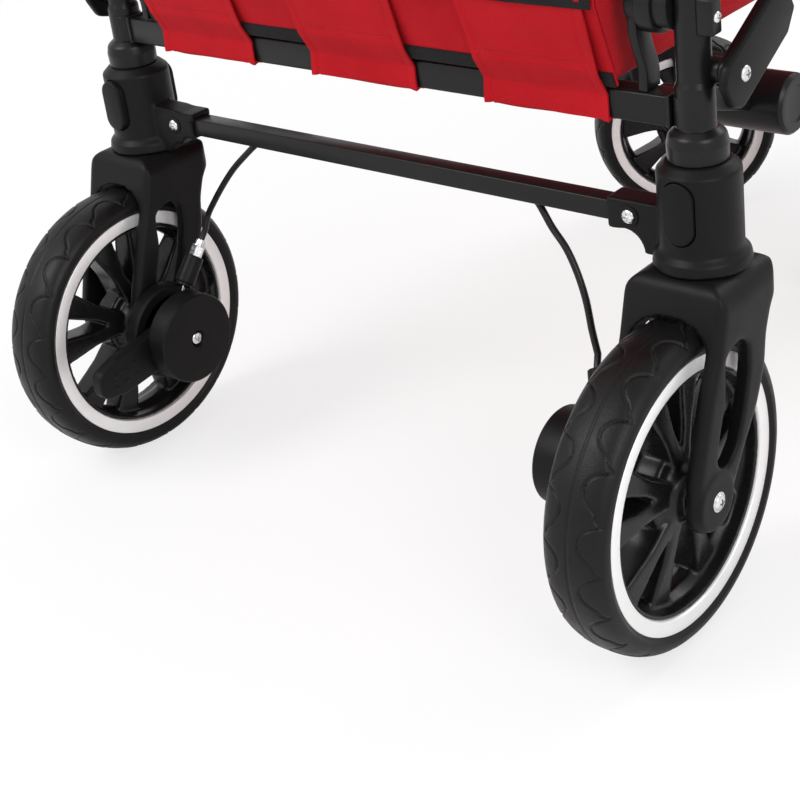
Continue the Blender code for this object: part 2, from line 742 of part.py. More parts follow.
def brake_cable(home):
    """One cable from the left lever, through the hollow crossbar, to the right brake unit."""
    axle_y = REAR_Y - REAR_TRAIL

    def at(x, y, z):
        return (x, axle_y + y, REAR_AXLE_Z + z)

    level = (ARM_IN + ARM_OUT) / 2
    start_y, start_z = cable_end(0.047 + GAP)
    end_y, end_z = cable_end(0.026 + 2 * GAP)
    bar_z = BAR_Z - REAR_AXLE_Z
    route = [
        at(-level, start_y, start_z),
        at(-level, *cable_end(0.059)),
        at(-0.205, REAR_TRAIL - 0.015, 0.125),
        at(-0.172, REAR_TRAIL - 0.002, bar_z - 0.030),
        at(BAR_HOLE_LEFT, REAR_TRAIL, bar_z - 0.0065),
        at(BAR_HOLE_LEFT + 0.020, REAR_TRAIL, bar_z),
        at(BAR_HOLE_RIGHT - 0.020, REAR_TRAIL, bar_z),
        at(BAR_HOLE_RIGHT, REAR_TRAIL, bar_z - 0.0065),
        at(0.178, REAR_TRAIL - 0.004, bar_z - 0.030),
        at(0.209, REAR_TRAIL - 0.016, 0.112),
        at(level, *cable_end(0.026 + GAP + 0.012)),
        at(level, end_y, end_z),
    ]
    path = [Vector(route[0]), *smooth(route[1:-1], 3), Vector(route[-1])]
    keep(tube(path, CABLE_R, 2), "brake_cable", "rubber", home)
    direction = Vector((0, 0.033, 0.036)).normalized()
    foot = Vector(at(-level, *cable_end(0.0)))
    barrel = rod(foot, foot + direction * 0.030, BARREL_R, 12)
    neck = rod(foot + direction * 0.029, foot + direction * (0.047 - GAP), 0.0042, 6)
    keep(join(barrel, neck), "cable_barrel", "black plastic", home)


def handle_hub(side, word, home):
    """Hub on the post's top with the pin that the handle turns on."""
    low, high = side * HANDLE_HUB_IN, side * (HANDLE_HUB_IN + HANDLE_HUB_T)
    hub = soften(rod((low, REAR_Y, HANDLE_Z), (high, REAR_Y, HANDLE_Z), HANDLE_HUB_R, 20), 0.002, 1)
    x = side * POST_X
    socket = rod((x, REAR_Y, UPPER_RAIL_Z + UPPER_RAIL_R + 0.003), (x, REAR_Y, HANDLE_Z), POST_X - HANDLE_HUB_IN, 16)
    pin = rod((low + side * 0.002, REAR_Y, HANDLE_Z), (low - side * (HANDLE_DISC_T + 0.003), REAR_Y, HANDLE_Z), 0.007, 12)
    bore = rod((x, REAR_Y, UPPER_RAIL_Z), (x, REAR_Y, POST_TOP + GAP), BORE_R, 16)
    keep(cut(join(hub, socket, pin), bore), f"handle_hub_{word}", "black plastic", home)


def push_handle():
    """U-shaped push bar on the rear posts, and its foam grip."""
    home = pivot("push_handle_axis", (0, REAR_Y, HANDLE_Z))
    x = HANDLE_HUB_IN - 2 * GAP - HANDLE_DISC_T / 2
    lean = Vector((0, -math.sin(HANDLE_LEAN), math.cos(HANDLE_LEAN)))
    top = lean * HANDLE_LENGTH
    corners = [Vector((-x, 0, 0)), Vector((-x, 0, 0)) + top, Vector((x, 0, 0)) + top, Vector((x, 0, 0))]
    bar = tube(rounded(corners, HANDLE_BEND), HANDLE_R, 2)
    for side in (-1, 1):
        inner = side * (x - HANDLE_DISC_T / 2)
        outer = side * (x + HANDLE_DISC_T / 2)
        join(bar, rod((inner, 0, 0), (outer, 0, 0), HANDLE_DISC_R, 20))
    for side in (-1, 1):
        cut(bar, rod((side * (x - 0.03), 0, 0), (side * (x + 0.03), 0, 0), 0.007 + 2 * GAP, 12))
    keep(bar, "push_bar", "powder coat", home)
    half = GRIP_LENGTH / 2
    bore = HANDLE_R + GAP
    profile = [(GRIP_R - 0.002, half), (GRIP_R, half - 0.002), (GRIP_R, 0.002 - half), (GRIP_R - 0.002, -half), (bore, -half), (bore, half)]
    grip = turned(profile, 16, top, across=True)
    keep(grip, "push_grip", "foam", home)


def front_frame():
    home = pivot("front_frame_axis", (0, FRONT_PIVOT_Y, LINK_Z))
    lift = Vector((0, FRONT_PIVOT_Y, LINK_Z))
    for side, word in ((-1, "left"), (1, "right")):
        x = side * POST_X
        bore = POST_R - POST_WALL
        profile = [
            (POST_R, POST_TOP),
            (POST_R, CASTING_TOP),
            (CASTING_R, CASTING_TOP - 0.001),
            (CASTING_R, NECK_Z + NECK_H),
            (NECK_R, NECK_Z + NECK_H - 0.004),
            (NECK_R, NECK_Z),
            (bore, NECK_Z),
            (bore, POST_TOP),
        ]
        post = turned(profile, 16, (x, FRONT_Y, 0))
        inner = LINK_PLANE_B - LINK_T / 2
        boss = rod((x + side * POST_R * 0.8, FRONT_PIVOT_Y, LINK_Z), (side * (inner - GAP), FRONT_PIVOT_Y, LINK_Z), BOSS_R)
        pin = pivot_pin(side, inner - 0.003, LINK_PLANE_B + LINK_T / 2, FRONT_PIVOT_Y, LINK_Z)
        post = join(post, boss, *pin)
        cap = rod((x, FRONT_Y, POST_TOP - 0.004), (x, FRONT_Y, POST_TOP + 0.006), POST_R + 0.002, 14, POST_R - 0.003)
        offset(keep(join(post, cap), f"front_post_{word}", "powder coat", home), lift)

    rail, inside = lower_rail(FRONT_Y)
    cut(rail, inside)
    low = FRONT_CROWN_Z + GAP
    back = FRONT_Y - CASTER_SETBACK
    bores = []
    for side in (-1, 1):
        x = side * CASTER_X
        housing = rod((x, back, low), (x, back, RAIL_TOP - 0.0005), 0.021, 20)
        arm = block((x - 0.012, back, RAIL_BOTTOM + 0.002), (x + 0.012, FRONT_Y - RAIL_D / 2 + 0.001, RAIL_TOP - 0.002))
        join(rail, housing, arm)
        bores.append(rod((x, back, low - 0.01), (x, back, RAIL_TOP - 0.006), 0.008 + GAP, 16))
    for side in (-1, 1):
        ear_x = side * (PULL_BOSS_W / 2 + GAP)
        outline = stadium((FRONT_Y + RAIL_D / 2 - 0.001, PULL_Z), (PULL_Y, PULL_Z), PULL_EAR_R)
        outline = [(max(y, FRONT_Y + RAIL_D / 2 - 0.001), z) for y, z in outline]
        outline = [(y, min(max(z, RAIL_BOTTOM), RAIL_TOP) if y < PULL_Y - 0.02 else z) for y, z in outline]
        join(rail, plate(outline, ear_x, ear_x + side * PULL_EAR_T))
    bores.append(rod((-0.05, PULL_Y, PULL_Z), (0.05, PULL_Y, PULL_Z), PIN_R + GAP + 0.0002, 12))
    offset(keep(cut(rail, *bores), "front_chassis", "powder coat", home), lift)
    reach = POST_X - POST_R - GAP
    upper = pipe_across(FRONT_Y, UPPER_RAIL_Z, reach, UPPER_RAIL_R, POST_WALL)
    offset(keep(upper, "front_upper_rail", "powder coat", home), lift)
    return home


def offset(obj, lift):
    """Leaves a piece where it was modelled when its parent empty stands elsewhere."""
    obj.matrix_parent_inverse = Matrix.Translation(-lift)
    for modifier in obj.modifiers:
        if modifier.type == "BOOLEAN":
            offset(modifier.object, lift)
    return obj


def caster(side, word, yaw):
    """Front caster: fork with its stem and axle, and the wheel on it."""
    place = Vector((side * CASTER_X, FRONT_Y - CASTER_SETBACK, 0))
    back = Matrix.Rotation(yaw, 3, "Z") @ Vector((0, -FRONT_TRAIL, 0))
    home = pivot(f"caster_axis_{word}", place + back + Vector((0, 0, FRONT_AXLE_Z)), yaw)
    size = FRONT_TYRE_R / REAR_TYRE_R
    body = fork(FRONT_TYRE_R, FRONT_TRAIL, size)
    top = FRONT_TYRE_R + ARCH_CLEAR + CROWN_H
    stem = rod((0, FRONT_TRAIL, top - 0.004), (0, FRONT_TRAIL, RAIL_TOP - 0.012 - FRONT_AXLE_Z), 0.008, 16)
    half = FORK_W / 2
    axle = rod((-half, 0, 0), (half, 0, 0), AXLE_R)
    heads = [rod((end * (half - 0.001), 0, 0), (end * (half + 0.0035), 0, 0), 0.009, 10, 0.007) for end in (-1, 1)]
    keep(join(body, stem, axle, *heads), f"caster_fork_{word}", "black plastic", home)
    keep(tyre(FRONT_TYRE_R, FRONT_RING_R, FRONT_SIDES), f"front_tyre_{word}", "rubber", home)
    keep(rim(FRONT_RING_R, FRONT_RING_DEPTH, RING_WIDTH, FRONT_SIDES), f"front_rim_{word}", "black plastic", home)


def link(side, name, start, end, plane, holes, pins, look="powder coat"):
    """Flat link between two pivots, with bores where pins pass and its own pins through the next link."""
    low, high = side * (plane - LINK_T / 2), side * (plane + LINK_T / 2)
    bores = [circle(place, PIN_R + 2 * GAP + 0.0002, 8) for place in holes]
    bar = plate(stadium(start, end, LINK_H / 2), low, high, "side", bores)
    other = LINK_PLANE_B if plane == LINK_PLANE_A else LINK_PLANE_A
    way = 1 if other > plane else -1
    for y, z in pins:
        join(bar, *pivot_pin(side, plane, other + way * LINK_T / 2, y, z))
    home = pivot(f"{name}_axis", (0, start[0], start[1]))
    offset(keep(bar, name, look, home), Vector((0, start[0], start[1])))


def scissors():
    lower_rear, upper_rear = (REAR_PIVOT_Y, LINK_Z), (REAR_PIVOT_Y, LINK_TOP)
    lower_mid, upper_mid = (MID_Y, LINK_Z), (MID_Y, LINK_TOP)
    lower_front, upper_front = (FRONT_PIVOT_Y, LINK_Z), (FRONT_PIVOT_Y, LINK_TOP)
    cross_rear = ((REAR_PIVOT_Y + MID_Y) / 2, LINK_MID)
    cross_front = ((FRONT_PIVOT_Y + MID_Y) / 2, LINK_MID)
    for side, word in ((-1, "left"), (1, "right")):
        link(side, f"link_a_rear_{word}", lower_rear, upper_mid, LINK_PLANE_A, [lower_rear], [cross_rear, upper_mid])
        link(side, f"link_b_rear_{word}", upper_rear, lower_mid, LINK_PLANE_B, [upper_rear, cross_rear], [lower_mid])
        link(side, f"link_b_front_{word}", upper_mid, lower_front, LINK_PLANE_B, [upper_mid, lower_front], [cross_front])
        link(side, f"link_a_front_{word}", lower_mid, upper_front, LINK_PLANE_A, [lower_mid, cross_front, upper_front], [])
        collar(side, f"collar_rear_{word}", REAR_Y, REAR_PIVOT_Y, LINK_PLANE_B)
        collar(side, f"collar_front_{word}", FRONT_Y, FRONT_PIVOT_Y, LINK_PLANE_A)


def collar(side, name, post_y, pivot_y, plane):
    """Collar that slides on a post and carries the upper end of a link."""
    home = pivot(f"{name}_axis", (0, pivot_y, LINK_TOP))
    lift = Vector((0, pivot_y, LINK_TOP))
    half = COLLAR_H / 2
    bore = POST_R + GAP
    x = side * POST_X
    profile = [
        (COLLAR_R, half),
        (COLLAR_R, -half),
        (bore, -half),
        (bore, half),
    ]
    ring = turned(profile, 16, (x, post_y, LINK_TOP))
    inner = plane - LINK_T / 2
    start = x + side * (POST_R + 0.0012)
    boss = rod((start, pivot_y, LINK_TOP), (side * (inner - GAP), pivot_y, LINK_TOP), BOSS_R)
    pin = pivot_pin(side, inner - 0.003, plane + LINK_T / 2, pivot_y, LINK_TOP)
    offset(keep(join(ring, boss, *pin), name, "black plastic", home), lift)


def pull_handle():
    """Telescoping pull handle, stored upright against its stop."""
    home = pivot("pull_handle_axis", (0, PULL_Y, PULL_Z))
    home.rotation_euler = (PULL_LEAN, 0, 0)
    boss = rod((-PULL_BOSS_W / 2, 0, 0), (PULL_BOSS_W / 2, 0, 0), PULL_BOSS_R, 16)
    outer = rod((0, 0, 0), (0, 0, PULL_TUBE_LENGTH), PULL_TUBE_R, 16)
    reach = PULL_BOSS_W / 2 + GAP + PULL_EAR_T
    pin = rod((-reach - 0.001, 0, 0), (reach + 0.001, 0, 0), PIN_R, 12)
    heads = [rod((end * (reach + GAP), 0, 0), (end * (reach + 0.003), 0, 0), PIN_HEAD_R, 12) for end in (-1, 1)]
    bore = rod((0, 0, 0.060), (0, 0, PULL_TUBE_LENGTH + 0.01), PULL_INNER_R + GAP, 16)
    keep(cut(join(boss, outer, pin, *heads), bore), "pull_tube", "powder coat", home)
    bore_r = PULL_INNER_R - PULL_WALL
    top = PULL_TUBE_LENGTH + 0.025
    inner = turned([(PULL_INNER_R, top), (PULL_INNER_R, 0.0605), (bore_r, 0.0605), (bore_r, top)], 16)
    keep(inner, "pull_inner", "alloy", home)
    low = PULL_TUBE_LENGTH + 0.003
    bar_z = low + 0.052
    neck = rod((0, 0, low), (0, 0, bar_z), 0.0138, 16)
    half = PULL_GRIP_W / 2
    bar = soften(rod((-half, 0, bar_z), (half, 0, bar_z), PULL_GRIP_R, 16), 0.004, 1)
    socket = rod((0, 0, low - 0.01), (0, 0, top + GAP), PULL_INNER_R + GAP, 16)
    keep(cut(join(neck, bar), socket), "pull_grip", "black plastic", home)


def tub_edge(post_y, way, inset=0.0):
    """Corners of the tub's end in side view, from the floor up, at an inset from its outside."""
    foot = post_y + way * (RAIL_D / 2 - inset)
    head = foot + way * TUB_LEAN
    return [(foot, TUB_FLOOR), (head, TUB_HEM_Z), (head, TUB_TOP)]


def tub(home):
    """Floor and side walls of the fabric tub, open at both ends, where the end panels close it."""
    rear, front = tub_edge(REAR_Y, -1), tub_edge(FRONT_Y, 1)
    half = TUB_W / 2
    body = plate(rear + front[::-1], -half, half)
    inside = block(
        (TUB_CLOTH - half, REAR_Y - 0.1, TUB_FLOOR + TUB_CLOTH), (half - TUB_CLOTH, FRONT_Y + 0.1, TUB_TOP + 0.05)
    )
    keep(cut(body, inside), "tub", "red cloth", home)


def end_panel(post_y, way, straps, name, home):
    """End wall of the tub with its hem binding and the straps that loop round the lower rail."""
    inner = tub_edge(post_y, way, -0.0005)
    outer = tub_edge(post_y, way, -0.0005 - PANEL_T)
    half = TUB_W / 2
    wall = plate(inner + outer[::-1], -half, half)
    rail = post_y + way * (RAIL_D / 2 + 0.0004)
    strap_out = rail + way * STRAP_T
    over = PANEL_T + 0.0018
    head_in = (post_y + way * (RAIL_D / 2 + TUB_LEAN + 0.001), TUB_HEM_Z - 0.002)
    head_out = (post_y + way * (RAIL_D / 2 + TUB_LEAN + 0.0005 + over), TUB_HEM_Z - 0.002)
    under = RAIL_BOTTOM - 0.0004
    outline = [
        head_out,
        (strap_out + way * 0.002, RAIL_TOP + 0.001),
        (strap_out, RAIL_TOP - 0.004),
        (strap_out, under - STRAP_T),
        (post_y - way * (RAIL_D / 2 - 0.002), under - STRAP_T),
        (post_y - way * (RAIL_D / 2 - 0.002), under),
        (rail, under),
        (rail, TUB_FLOOR - 0.0008),
        head_in,
    ]
    loops = [plate(outline, x - STRAP_W / 2, x + STRAP_W / 2) for x in straps]
    face = post_y + way * (RAIL_D / 2 + TUB_LEAN + 0.0005)
    binding = block(
        (-half, face + way * 0.001, TUB_HEM_Z - 0.004), (half, face + way * (PANEL_T + 0.0032), TUB_HEM_Z - 0.004 + BINDING_H)
    )
    return keep(join(wall, *loops, binding), name, "red cloth", home)


def build():
    root = pivot("rear_frame_origin", (0, 0, 0))
    rear_frame(root)
    crossbar(root)
    brake_cable(root)
    for side, word in ((-1, "left"), (1, "right")):
        home = rear_wheel(side, word)
        handle_hub(side, word, root)
        button(side, word, BUTTON_PROUD_RIGHT if side > 0 else BUTTON_PROUD_LEFT)
        if side < 0:
            brake_lever(side, "brake_pedal", PEDAL_REACH, PEDAL_DROP, PEDAL_R, home)
        else:
            brake_lever(side, "brake_arm", DRUM_R - 0.013, 0.0, 0.011, home)
    push_handle()
    tub(root)
    end_panel(REAR_Y, -1, (-STRAP_X, 0.0, STRAP_X), "rear_panel", root)
    front = front_frame()
    panel = end_panel(FRONT_Y, 1, (-STRAP_X, STRAP_X), "front_panel", front)
    offset(panel, Vector((0, FRONT_PIVOT_Y, LINK_Z)))
    caster(-1, "left", LEFT_CASTER_YAW)
    caster(1, "right", 0.0)
    scissors()
    pull_handle()


build()
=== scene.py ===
from math import atan2, cos, degrees, exp, hypot, pi, radians, sin, tan, tau

import bmesh
import bpy
import numpy as np
from mathutils import Matrix, Vector, noise


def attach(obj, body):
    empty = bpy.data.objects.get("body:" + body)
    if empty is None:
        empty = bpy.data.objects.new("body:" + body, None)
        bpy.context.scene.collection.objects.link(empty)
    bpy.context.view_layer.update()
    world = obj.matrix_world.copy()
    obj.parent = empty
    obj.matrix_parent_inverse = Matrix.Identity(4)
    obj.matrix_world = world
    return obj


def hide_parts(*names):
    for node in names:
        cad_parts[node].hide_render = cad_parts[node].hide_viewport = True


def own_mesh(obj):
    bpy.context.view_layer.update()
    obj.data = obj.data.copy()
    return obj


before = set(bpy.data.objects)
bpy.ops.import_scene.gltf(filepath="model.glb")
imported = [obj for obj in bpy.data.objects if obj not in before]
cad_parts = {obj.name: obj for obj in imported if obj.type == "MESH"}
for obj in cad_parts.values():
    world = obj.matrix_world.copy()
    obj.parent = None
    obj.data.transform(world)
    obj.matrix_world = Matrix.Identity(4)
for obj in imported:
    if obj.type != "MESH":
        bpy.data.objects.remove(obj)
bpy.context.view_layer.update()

scene = bpy.context.scene
print("frame loaded:", len(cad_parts), "nodes")

# the places that the pieces share, in metres
wagon = {
    "postX": 0.3, "rearY": -0.306, "frontY": 0.414, "midY": 0.054,
    "rearAxle": (0.3, -0.37, 0.126388), "frontAxleZ": 0.10434,
    "casterX": 0.155, "casterY": 0.298, "leftYaw": radians(130),
    "crownZ": 0.282888, "sleeveTop": 0.362188, "neckZ": 0.362488,
    "railLow": 0.3854, "railHigh": 0.408, "railDeep": 0.02, "upperRailZ": 0.838, "barZ": 0.3117,
    "linkLow": 0.425, "linkTop": 0.61558, "linkMid": 0.52029,
    "rearPivotY": -0.297, "frontPivotY": 0.405, "planeA": 0.323, "planeB": 0.3345,
    "pullY": 0.479, "pullZ": 0.397, "pullLean": radians(2.5), "handleZ": 0.884,
}
postX, rearY, frontY = wagon["postX"], wagon["rearY"], wagon["frontY"]
railLow, railHigh, railHalf = wagon["railLow"], wagon["railHigh"], wagon["railDeep"] / 2
bothSides = ((-1, "left"), (1, "right"))
across = Matrix.Rotation(pi / 2, 4, "Y")


def roundPath(points, closed=True, steps=4):
    # a third number on a point rounds that corner
    path = []
    for i, point in enumerate(points):
        here = Vector(point[:2])
        radius = point[2] if len(point) > 2 else 0
        if radius <= 0 or (not closed and i in (0, len(points) - 1)):
            path.append(here)
            continue
        back = Vector(points[i - 1][:2]) - here
        ahead = Vector(points[(i + 1) % len(points)][:2]) - here
        half = max(back.angle(ahead) / 2, 0.05)
        reach = min(radius / tan(half), 0.49 * back.length, 0.49 * ahead.length)
        radius = reach * tan(half)
        centre = here + (back.normalized() + ahead.normalized()).normalized() * (radius / sin(half))
        first = here + back.normalized() * reach - centre
        last = here + ahead.normalized() * reach - centre
        start = atan2(first.y, first.x)
        turn = (atan2(last.y, last.x) - start + pi) % tau - pi
        for s in range(steps + 1):
            angle = start + turn * s / steps
            path.append(centre + Vector((cos(angle), sin(angle))) * radius)
    return path


def arc(centre, radius, start, end, steps=8):
    # degrees, both ends kept
    turns = [radians(start + (end - start) * i / steps) for i in range(steps + 1)]
    return [(centre[0] + radius * cos(a), centre[1] + radius * sin(a)) for a in turns]


def stadium(start, end, radius, steps=14):
    lean = degrees(atan2(end[1] - start[1], end[0] - start[0]))
    return arc(end, radius, lean - 90, lean + 90, steps) + arc(start, radius, lean + 90, lean + 270, steps)


def lathe(profile, steps=48, place=Matrix(), closed=True):
    bm = bmesh.new()
    verts = [bm.verts.new((radius, 0, height)) for radius, height in profile]
    pairs = list(zip(verts, verts[1:])) + ([(verts[-1], verts[0])] if closed else [])
    edges = [bm.edges.new(pair) for pair in pairs]
    bmesh.ops.spin(bm, geom=verts + edges, cent=(0, 0, 0), axis=(0, 0, 1), angle=tau, steps=steps, use_merge=True)
    bmesh.ops.remove_doubles(bm, verts=bm.verts, dist=0.0000012)
    bmesh.ops.recalc_face_normals(bm, faces=bm.faces)
    bmesh.ops.transform(bm, matrix=place, verts=bm.verts)
    return bm


def turned(points, steps=48, place=Matrix(), closed=True, corner=4):
    # a lathed profile of (radius, height) points with rounded corners
    return lathe(roundPath(points, closed, corner), steps, place, closed)


def pointing(start, end, at):
    return Matrix.Translation(at) @ (end - start).to_track_quat("Z", "Y").to_matrix().to_4x4()


def rod(start, end, radius, bevel=0.0, steps=32, tip=None):
    start, end = Vector(start), Vector(end)
    long = (end - start).length
    profile = [(0, 0), (radius, 0, bevel), (tip or radius, long, bevel), (0, long)]
    return turned(profile, steps, pointing(start, end, start), False)


def sideRod(side, near, far, spot, radius, bevel=0.0, steps=32):
    # along X on one side of the wagon, at spot (Y, Z)
    return rod((side * near, *spot), (side * far, *spot), radius, bevel, steps)


def dome(start, end, radius, rise, steps=28):
    # a rivet or screw head: a short edge, then a low crown towards the end point
    start, end = Vector(start), Vector(end)
    long = (end - start).length
    turns = [pi / 2 * i / 6 for i in range(6)]
    crown = [(radius * cos(a), (long - rise) + rise * sin(a)) for a in turns]
    return lathe([(0, 0), (radius, 0), *crown, (0, long)], steps, pointing(start, end, start), False)


sideView = Matrix(((0, 0, 1, 0), (1, 0, 0, 0), (0, 1, 0, 0), (0, 0, 0, 1)))
frontView = Matrix(((1, 0, 0, 0), (0, 0, 1, 0), (0, 1, 0, 0), (0, 0, 0, 1)))
topView = Matrix()


def slab(outline, low, high, view=sideView, bevel=0.0, segments=2):
    # an outline in side view (Y, Z), front view (X, Z) or top view (X, Y), with its rims rounded
    low, high = min(low, high), max(low, high)
    bm = bmesh.new()
    face = bm.faces.new([bm.verts.new((u, v, low)) for u, v in outline])
    made = bmesh.ops.extrude_face_region(bm, geom=[face])
    moved = [v for v in made["geom"] if isinstance(v, bmesh.types.BMVert)]
    bmesh.ops.translate(bm, vec=(0, 0, high - low), verts=moved)
    bmesh.ops.recalc_face_normals(bm, faces=bm.faces)
    if bevel:
        rims = list({e for f in bm.faces if abs(f.normal.z) > 0.9 for e in f.edges})
        bmesh.ops.bevel(bm, geom=rims, offset=bevel, segments=segments, affect="EDGES", profile=0.5, material=-1)
    bmesh.ops.transform(bm, matrix=view, verts=bm.verts)
    bmesh.ops.recalc_face_normals(bm, faces=bm.faces)
    return bm


def block(low, high, bevel=0.0, segments=3):
    low, high = Vector(low), Vector(high)
    bm = bmesh.new()
    bmesh.ops.create_cube(bm, size=1.0)
    bmesh.ops.scale(bm, vec=[abs(s) for s in high - low], verts=bm.verts)
    bmesh.ops.translate(bm, vec=(low + high) / 2, verts=bm.verts)
    if bevel:
        bmesh.ops.bevel(bm, geom=bm.edges[:], offset=bevel, segments=segments, affect="EDGES", profile=0.5, material=-1)
    return bm


def merged(shapes):
    whole = shapes[0]
    for shape in shapes[1:]:
        scratch = bpy.data.meshes.new("scratch")
        shape.to_mesh(scratch)
        shape.free()
        whole.from_mesh(scratch)
        bpy.data.meshes.remove(scratch)
    return whole


def shifted(bm, place):
    bmesh.ops.transform(bm, matrix=place, verts=bm.verts)
    return bm


def linked(name, data):
    obj = bpy.data.objects.new(name, data)
    scene.collection.objects.link(obj)
    return obj


def asObject(name, bm, sharp=38):
    mesh = bpy.data.meshes.new(name)
    bm.to_mesh(mesh)
    bm.free()
    mesh.shade_smooth()
    mesh.set_sharp_from_angle(angle=radians(sharp))
    return linked(name, mesh)


def bringBack(obj):
    bm = bmesh.new()
    bm.from_mesh(obj.data)
    bpy.data.objects.remove(obj)
    return bm


def evaluated(obj):
    return bpy.data.meshes.new_from_object(obj.evaluated_get(bpy.context.evaluated_depsgraph_get()))


def baked(obj, sharp=None):
    # swaps the mesh for the one that the modifiers give
    mesh, old = evaluated(obj), obj.data
    obj.modifiers.clear()
    obj.data = mesh
    bpy.data.meshes.remove(old)
    mesh.name = obj.name
    mesh.shade_smooth()
    if sharp:
        mesh.set_sharp_from_angle(angle=radians(sharp))
    return obj


def carved(obj, cutters, operation="DIFFERENCE", sharp=38):
    tools = [asObject("cutter", cutter) for cutter in cutters]
    for tool in tools:
        change = obj.modifiers.new("carve", "BOOLEAN")
        change.operation = operation
        change.solver = "EXACT"
        change.object = tool
    baked(obj, sharp)
    for tool in tools:
        bpy.data.objects.remove(tool)
    return obj


def moulded(obj, voxel, smooth, keep=1.0):
    # welds overlapping shapes into one moulding with softened corners
    remesh = obj.modifiers.new("weld", "REMESH")
    remesh.mode = "VOXEL"
    remesh.voxel_size = voxel
    soften = obj.modifiers.new("soften", "SMOOTH")
    soften.factor = 0.5
    soften.iterations = smooth
    if keep < 1:
        obj.modifiers.new("thin", "DECIMATE").ratio = keep
    return baked(obj)


def placedCopy(obj, name, place):
    mesh = obj.data.copy()
    mesh.transform(place)
    return linked(name, mesh)


def screwHead(start, end, radius, rise, cross=0.55):
    # pan head with a cross recess, looking from start to end
    head = asObject("head", dome(start, end, radius, rise))
    start, end = Vector(start), Vector(end)
    place = pointing(start, end, end)
    wide, slim, deep = radius * cross, radius * 0.13, min(rise * 0.9, (end - start).length * 0.7)
    cuts = [shifted(block((-u, -v, -deep), (u, v, 0.01)), place) for u, v in ((wide, slim), (slim, wide))]
    return bringBack(carved(head, cuts))


def fit(obj, look, body, *nodes):
    obj.data.materials.clear()
    obj.data.materials.append(looks[look])
    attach(obj, body)
    if nodes:
        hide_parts(*nodes)
    return obj


def piece(name, shapes, look, body, *nodes, place=Matrix(), sharp=38):
    return fit(asObject(name, shifted(merged(shapes), place), sharp), look, body, *nodes)


# finishes
def adder(tree):
    # add(kind, output wanted, {input: socket}, setting=value, in_Input=value) gives that output
    def add(kind, give, feeds=None, **settings):
        node = tree.nodes.new("ShaderNode" + kind)
        for name, value in settings.items():
            if name.startswith("in_"):
                key = name[3:].replace("_", " ")
                node.inputs[int(key) if key.isdigit() else key].default_value = value
            else:
                setattr(node, name, value)
        for into, socket in (feeds or {}).items():
            tree.links.new(socket, node.inputs[into])
        return node.outputs[give]

    return add


def newFinish(name):
    finish = bpy.data.materials.new(name)
    finish.use_nodes = True
    tree = finish.node_tree
    return finish, tree, adder(tree), tree.nodes["Principled BSDF"]


def makeFinish(name, look):
    finish, tree, add, shader = newFinish(name)
    for socket, key, usual in (("Metallic", "metallic", 0.0), ("Specular IOR Level", "specular", 0.5),
                               ("Coat Weight", "coat", 0.0), ("Coat Roughness", "coatRough", 0.2),
                               ("Sheen Weight", "sheen", 0.0), ("Sheen Roughness", "sheenRough", 0.4)):
        shader.inputs[socket].default_value = look.get(key, usual)
    scale, grain = look["cloudScale"], look["grain"]
    spot = {"Vector": add("TexCoord", "Object")}
    clouds = add("TexNoise", "Fac", spot, in_Scale=scale, in_Detail=5.0, in_Roughness=0.6)
    spread = add("MapRange", "Result", {"Value": clouds}, in_From_Min=0.32, in_From_Max=0.68)
    colour = add("Mix", "Result", {"Factor": spread}, data_type="RGBA",
                 in_A=(*look["colour"], 1), in_B=(*look["second"], 1))
    smudge = add("TexNoise", "Fac", spot, in_Scale=scale * 2.7, in_Detail=6.0, in_Roughness=0.65)
    rough = add("MapRange", "Result", {"Value": smudge}, in_From_Min=0.3, in_From_Max=0.7,
                in_To_Min=look["rough"][0], in_To_Max=look["rough"][1])
    if look["kind"] == "grain":
        height = add("TexNoise", "Fac", spot, in_Scale=grain, in_Detail=3.0, in_Roughness=0.55)
    elif look["kind"] == "pebble":
        height = add("TexVoronoi", "Distance", spot, in_Scale=grain)
    elif look["kind"] == "rings":
        # lines turned round each wheel's centre, by the distance from it
        offset = add("VectorMath", "Vector", {0: spot["Vector"]}, operation="SUBTRACT", in_1=look["centre"])
        distance = add("VectorMath", "Value", {0: offset}, operation="LENGTH")
        height = add("TexNoise", "Fac", {"W": distance}, noise_dimensions="1D", in_Scale=grain, in_Detail=4.0)
    else:
        # threads over and under each other, on the piece's own map in metres; the colour is darker in the weave's
        # valleys as painted shade
        flat = add("UVMap", "UV", uv_map="cloth")
        threads = add("VectorMath", "Vector", {0: flat}, operation="SCALE", in_Scale=grain)
        ways = []
        for axis, rib in (("X", 1.0), ("Y", look.get("rib", 1.0))):
            part = add("SeparateXYZ", axis, {"Vector": threads})
            turn = add("Math", "Value", {0: part}, operation="MULTIPLY", in_1=pi * rib)
            wave = add("Math", "Value", {0: turn}, operation="SINE")
            ways.append(add("Math", "Value", {0: wave}, operation="ABSOLUTE"))
        over = add("TexChecker", "Fac", {"Vector": threads}, in_Scale=1.0)
        height = add("Mix", "Result", {"Factor": over, "A": ways[0], "B": ways[1]}, data_type="FLOAT")
        # painted shade: the colour is multiplied down in the weave's valleys, to the share given for the valleys
        shade = add("MapRange", "Result", {"Value": height}, in_To_Min=look.get("valleyShade", 0.72), in_To_Max=1.0)
        colour = add("Mix", "Result", {"A": colour, "B": shade}, data_type="RGBA", blend_type="MULTIPLY", in_Factor=1.0)
    normal = add("Bump", "Normal", {"Height": height}, in_Strength=look["bump"], in_Distance=look["depth"])
    for socket, into in ((colour, "Base Color"), (rough, "Roughness"), (normal, "Normal")):
        tree.links.new(socket, shader.inputs[into])
    return finish
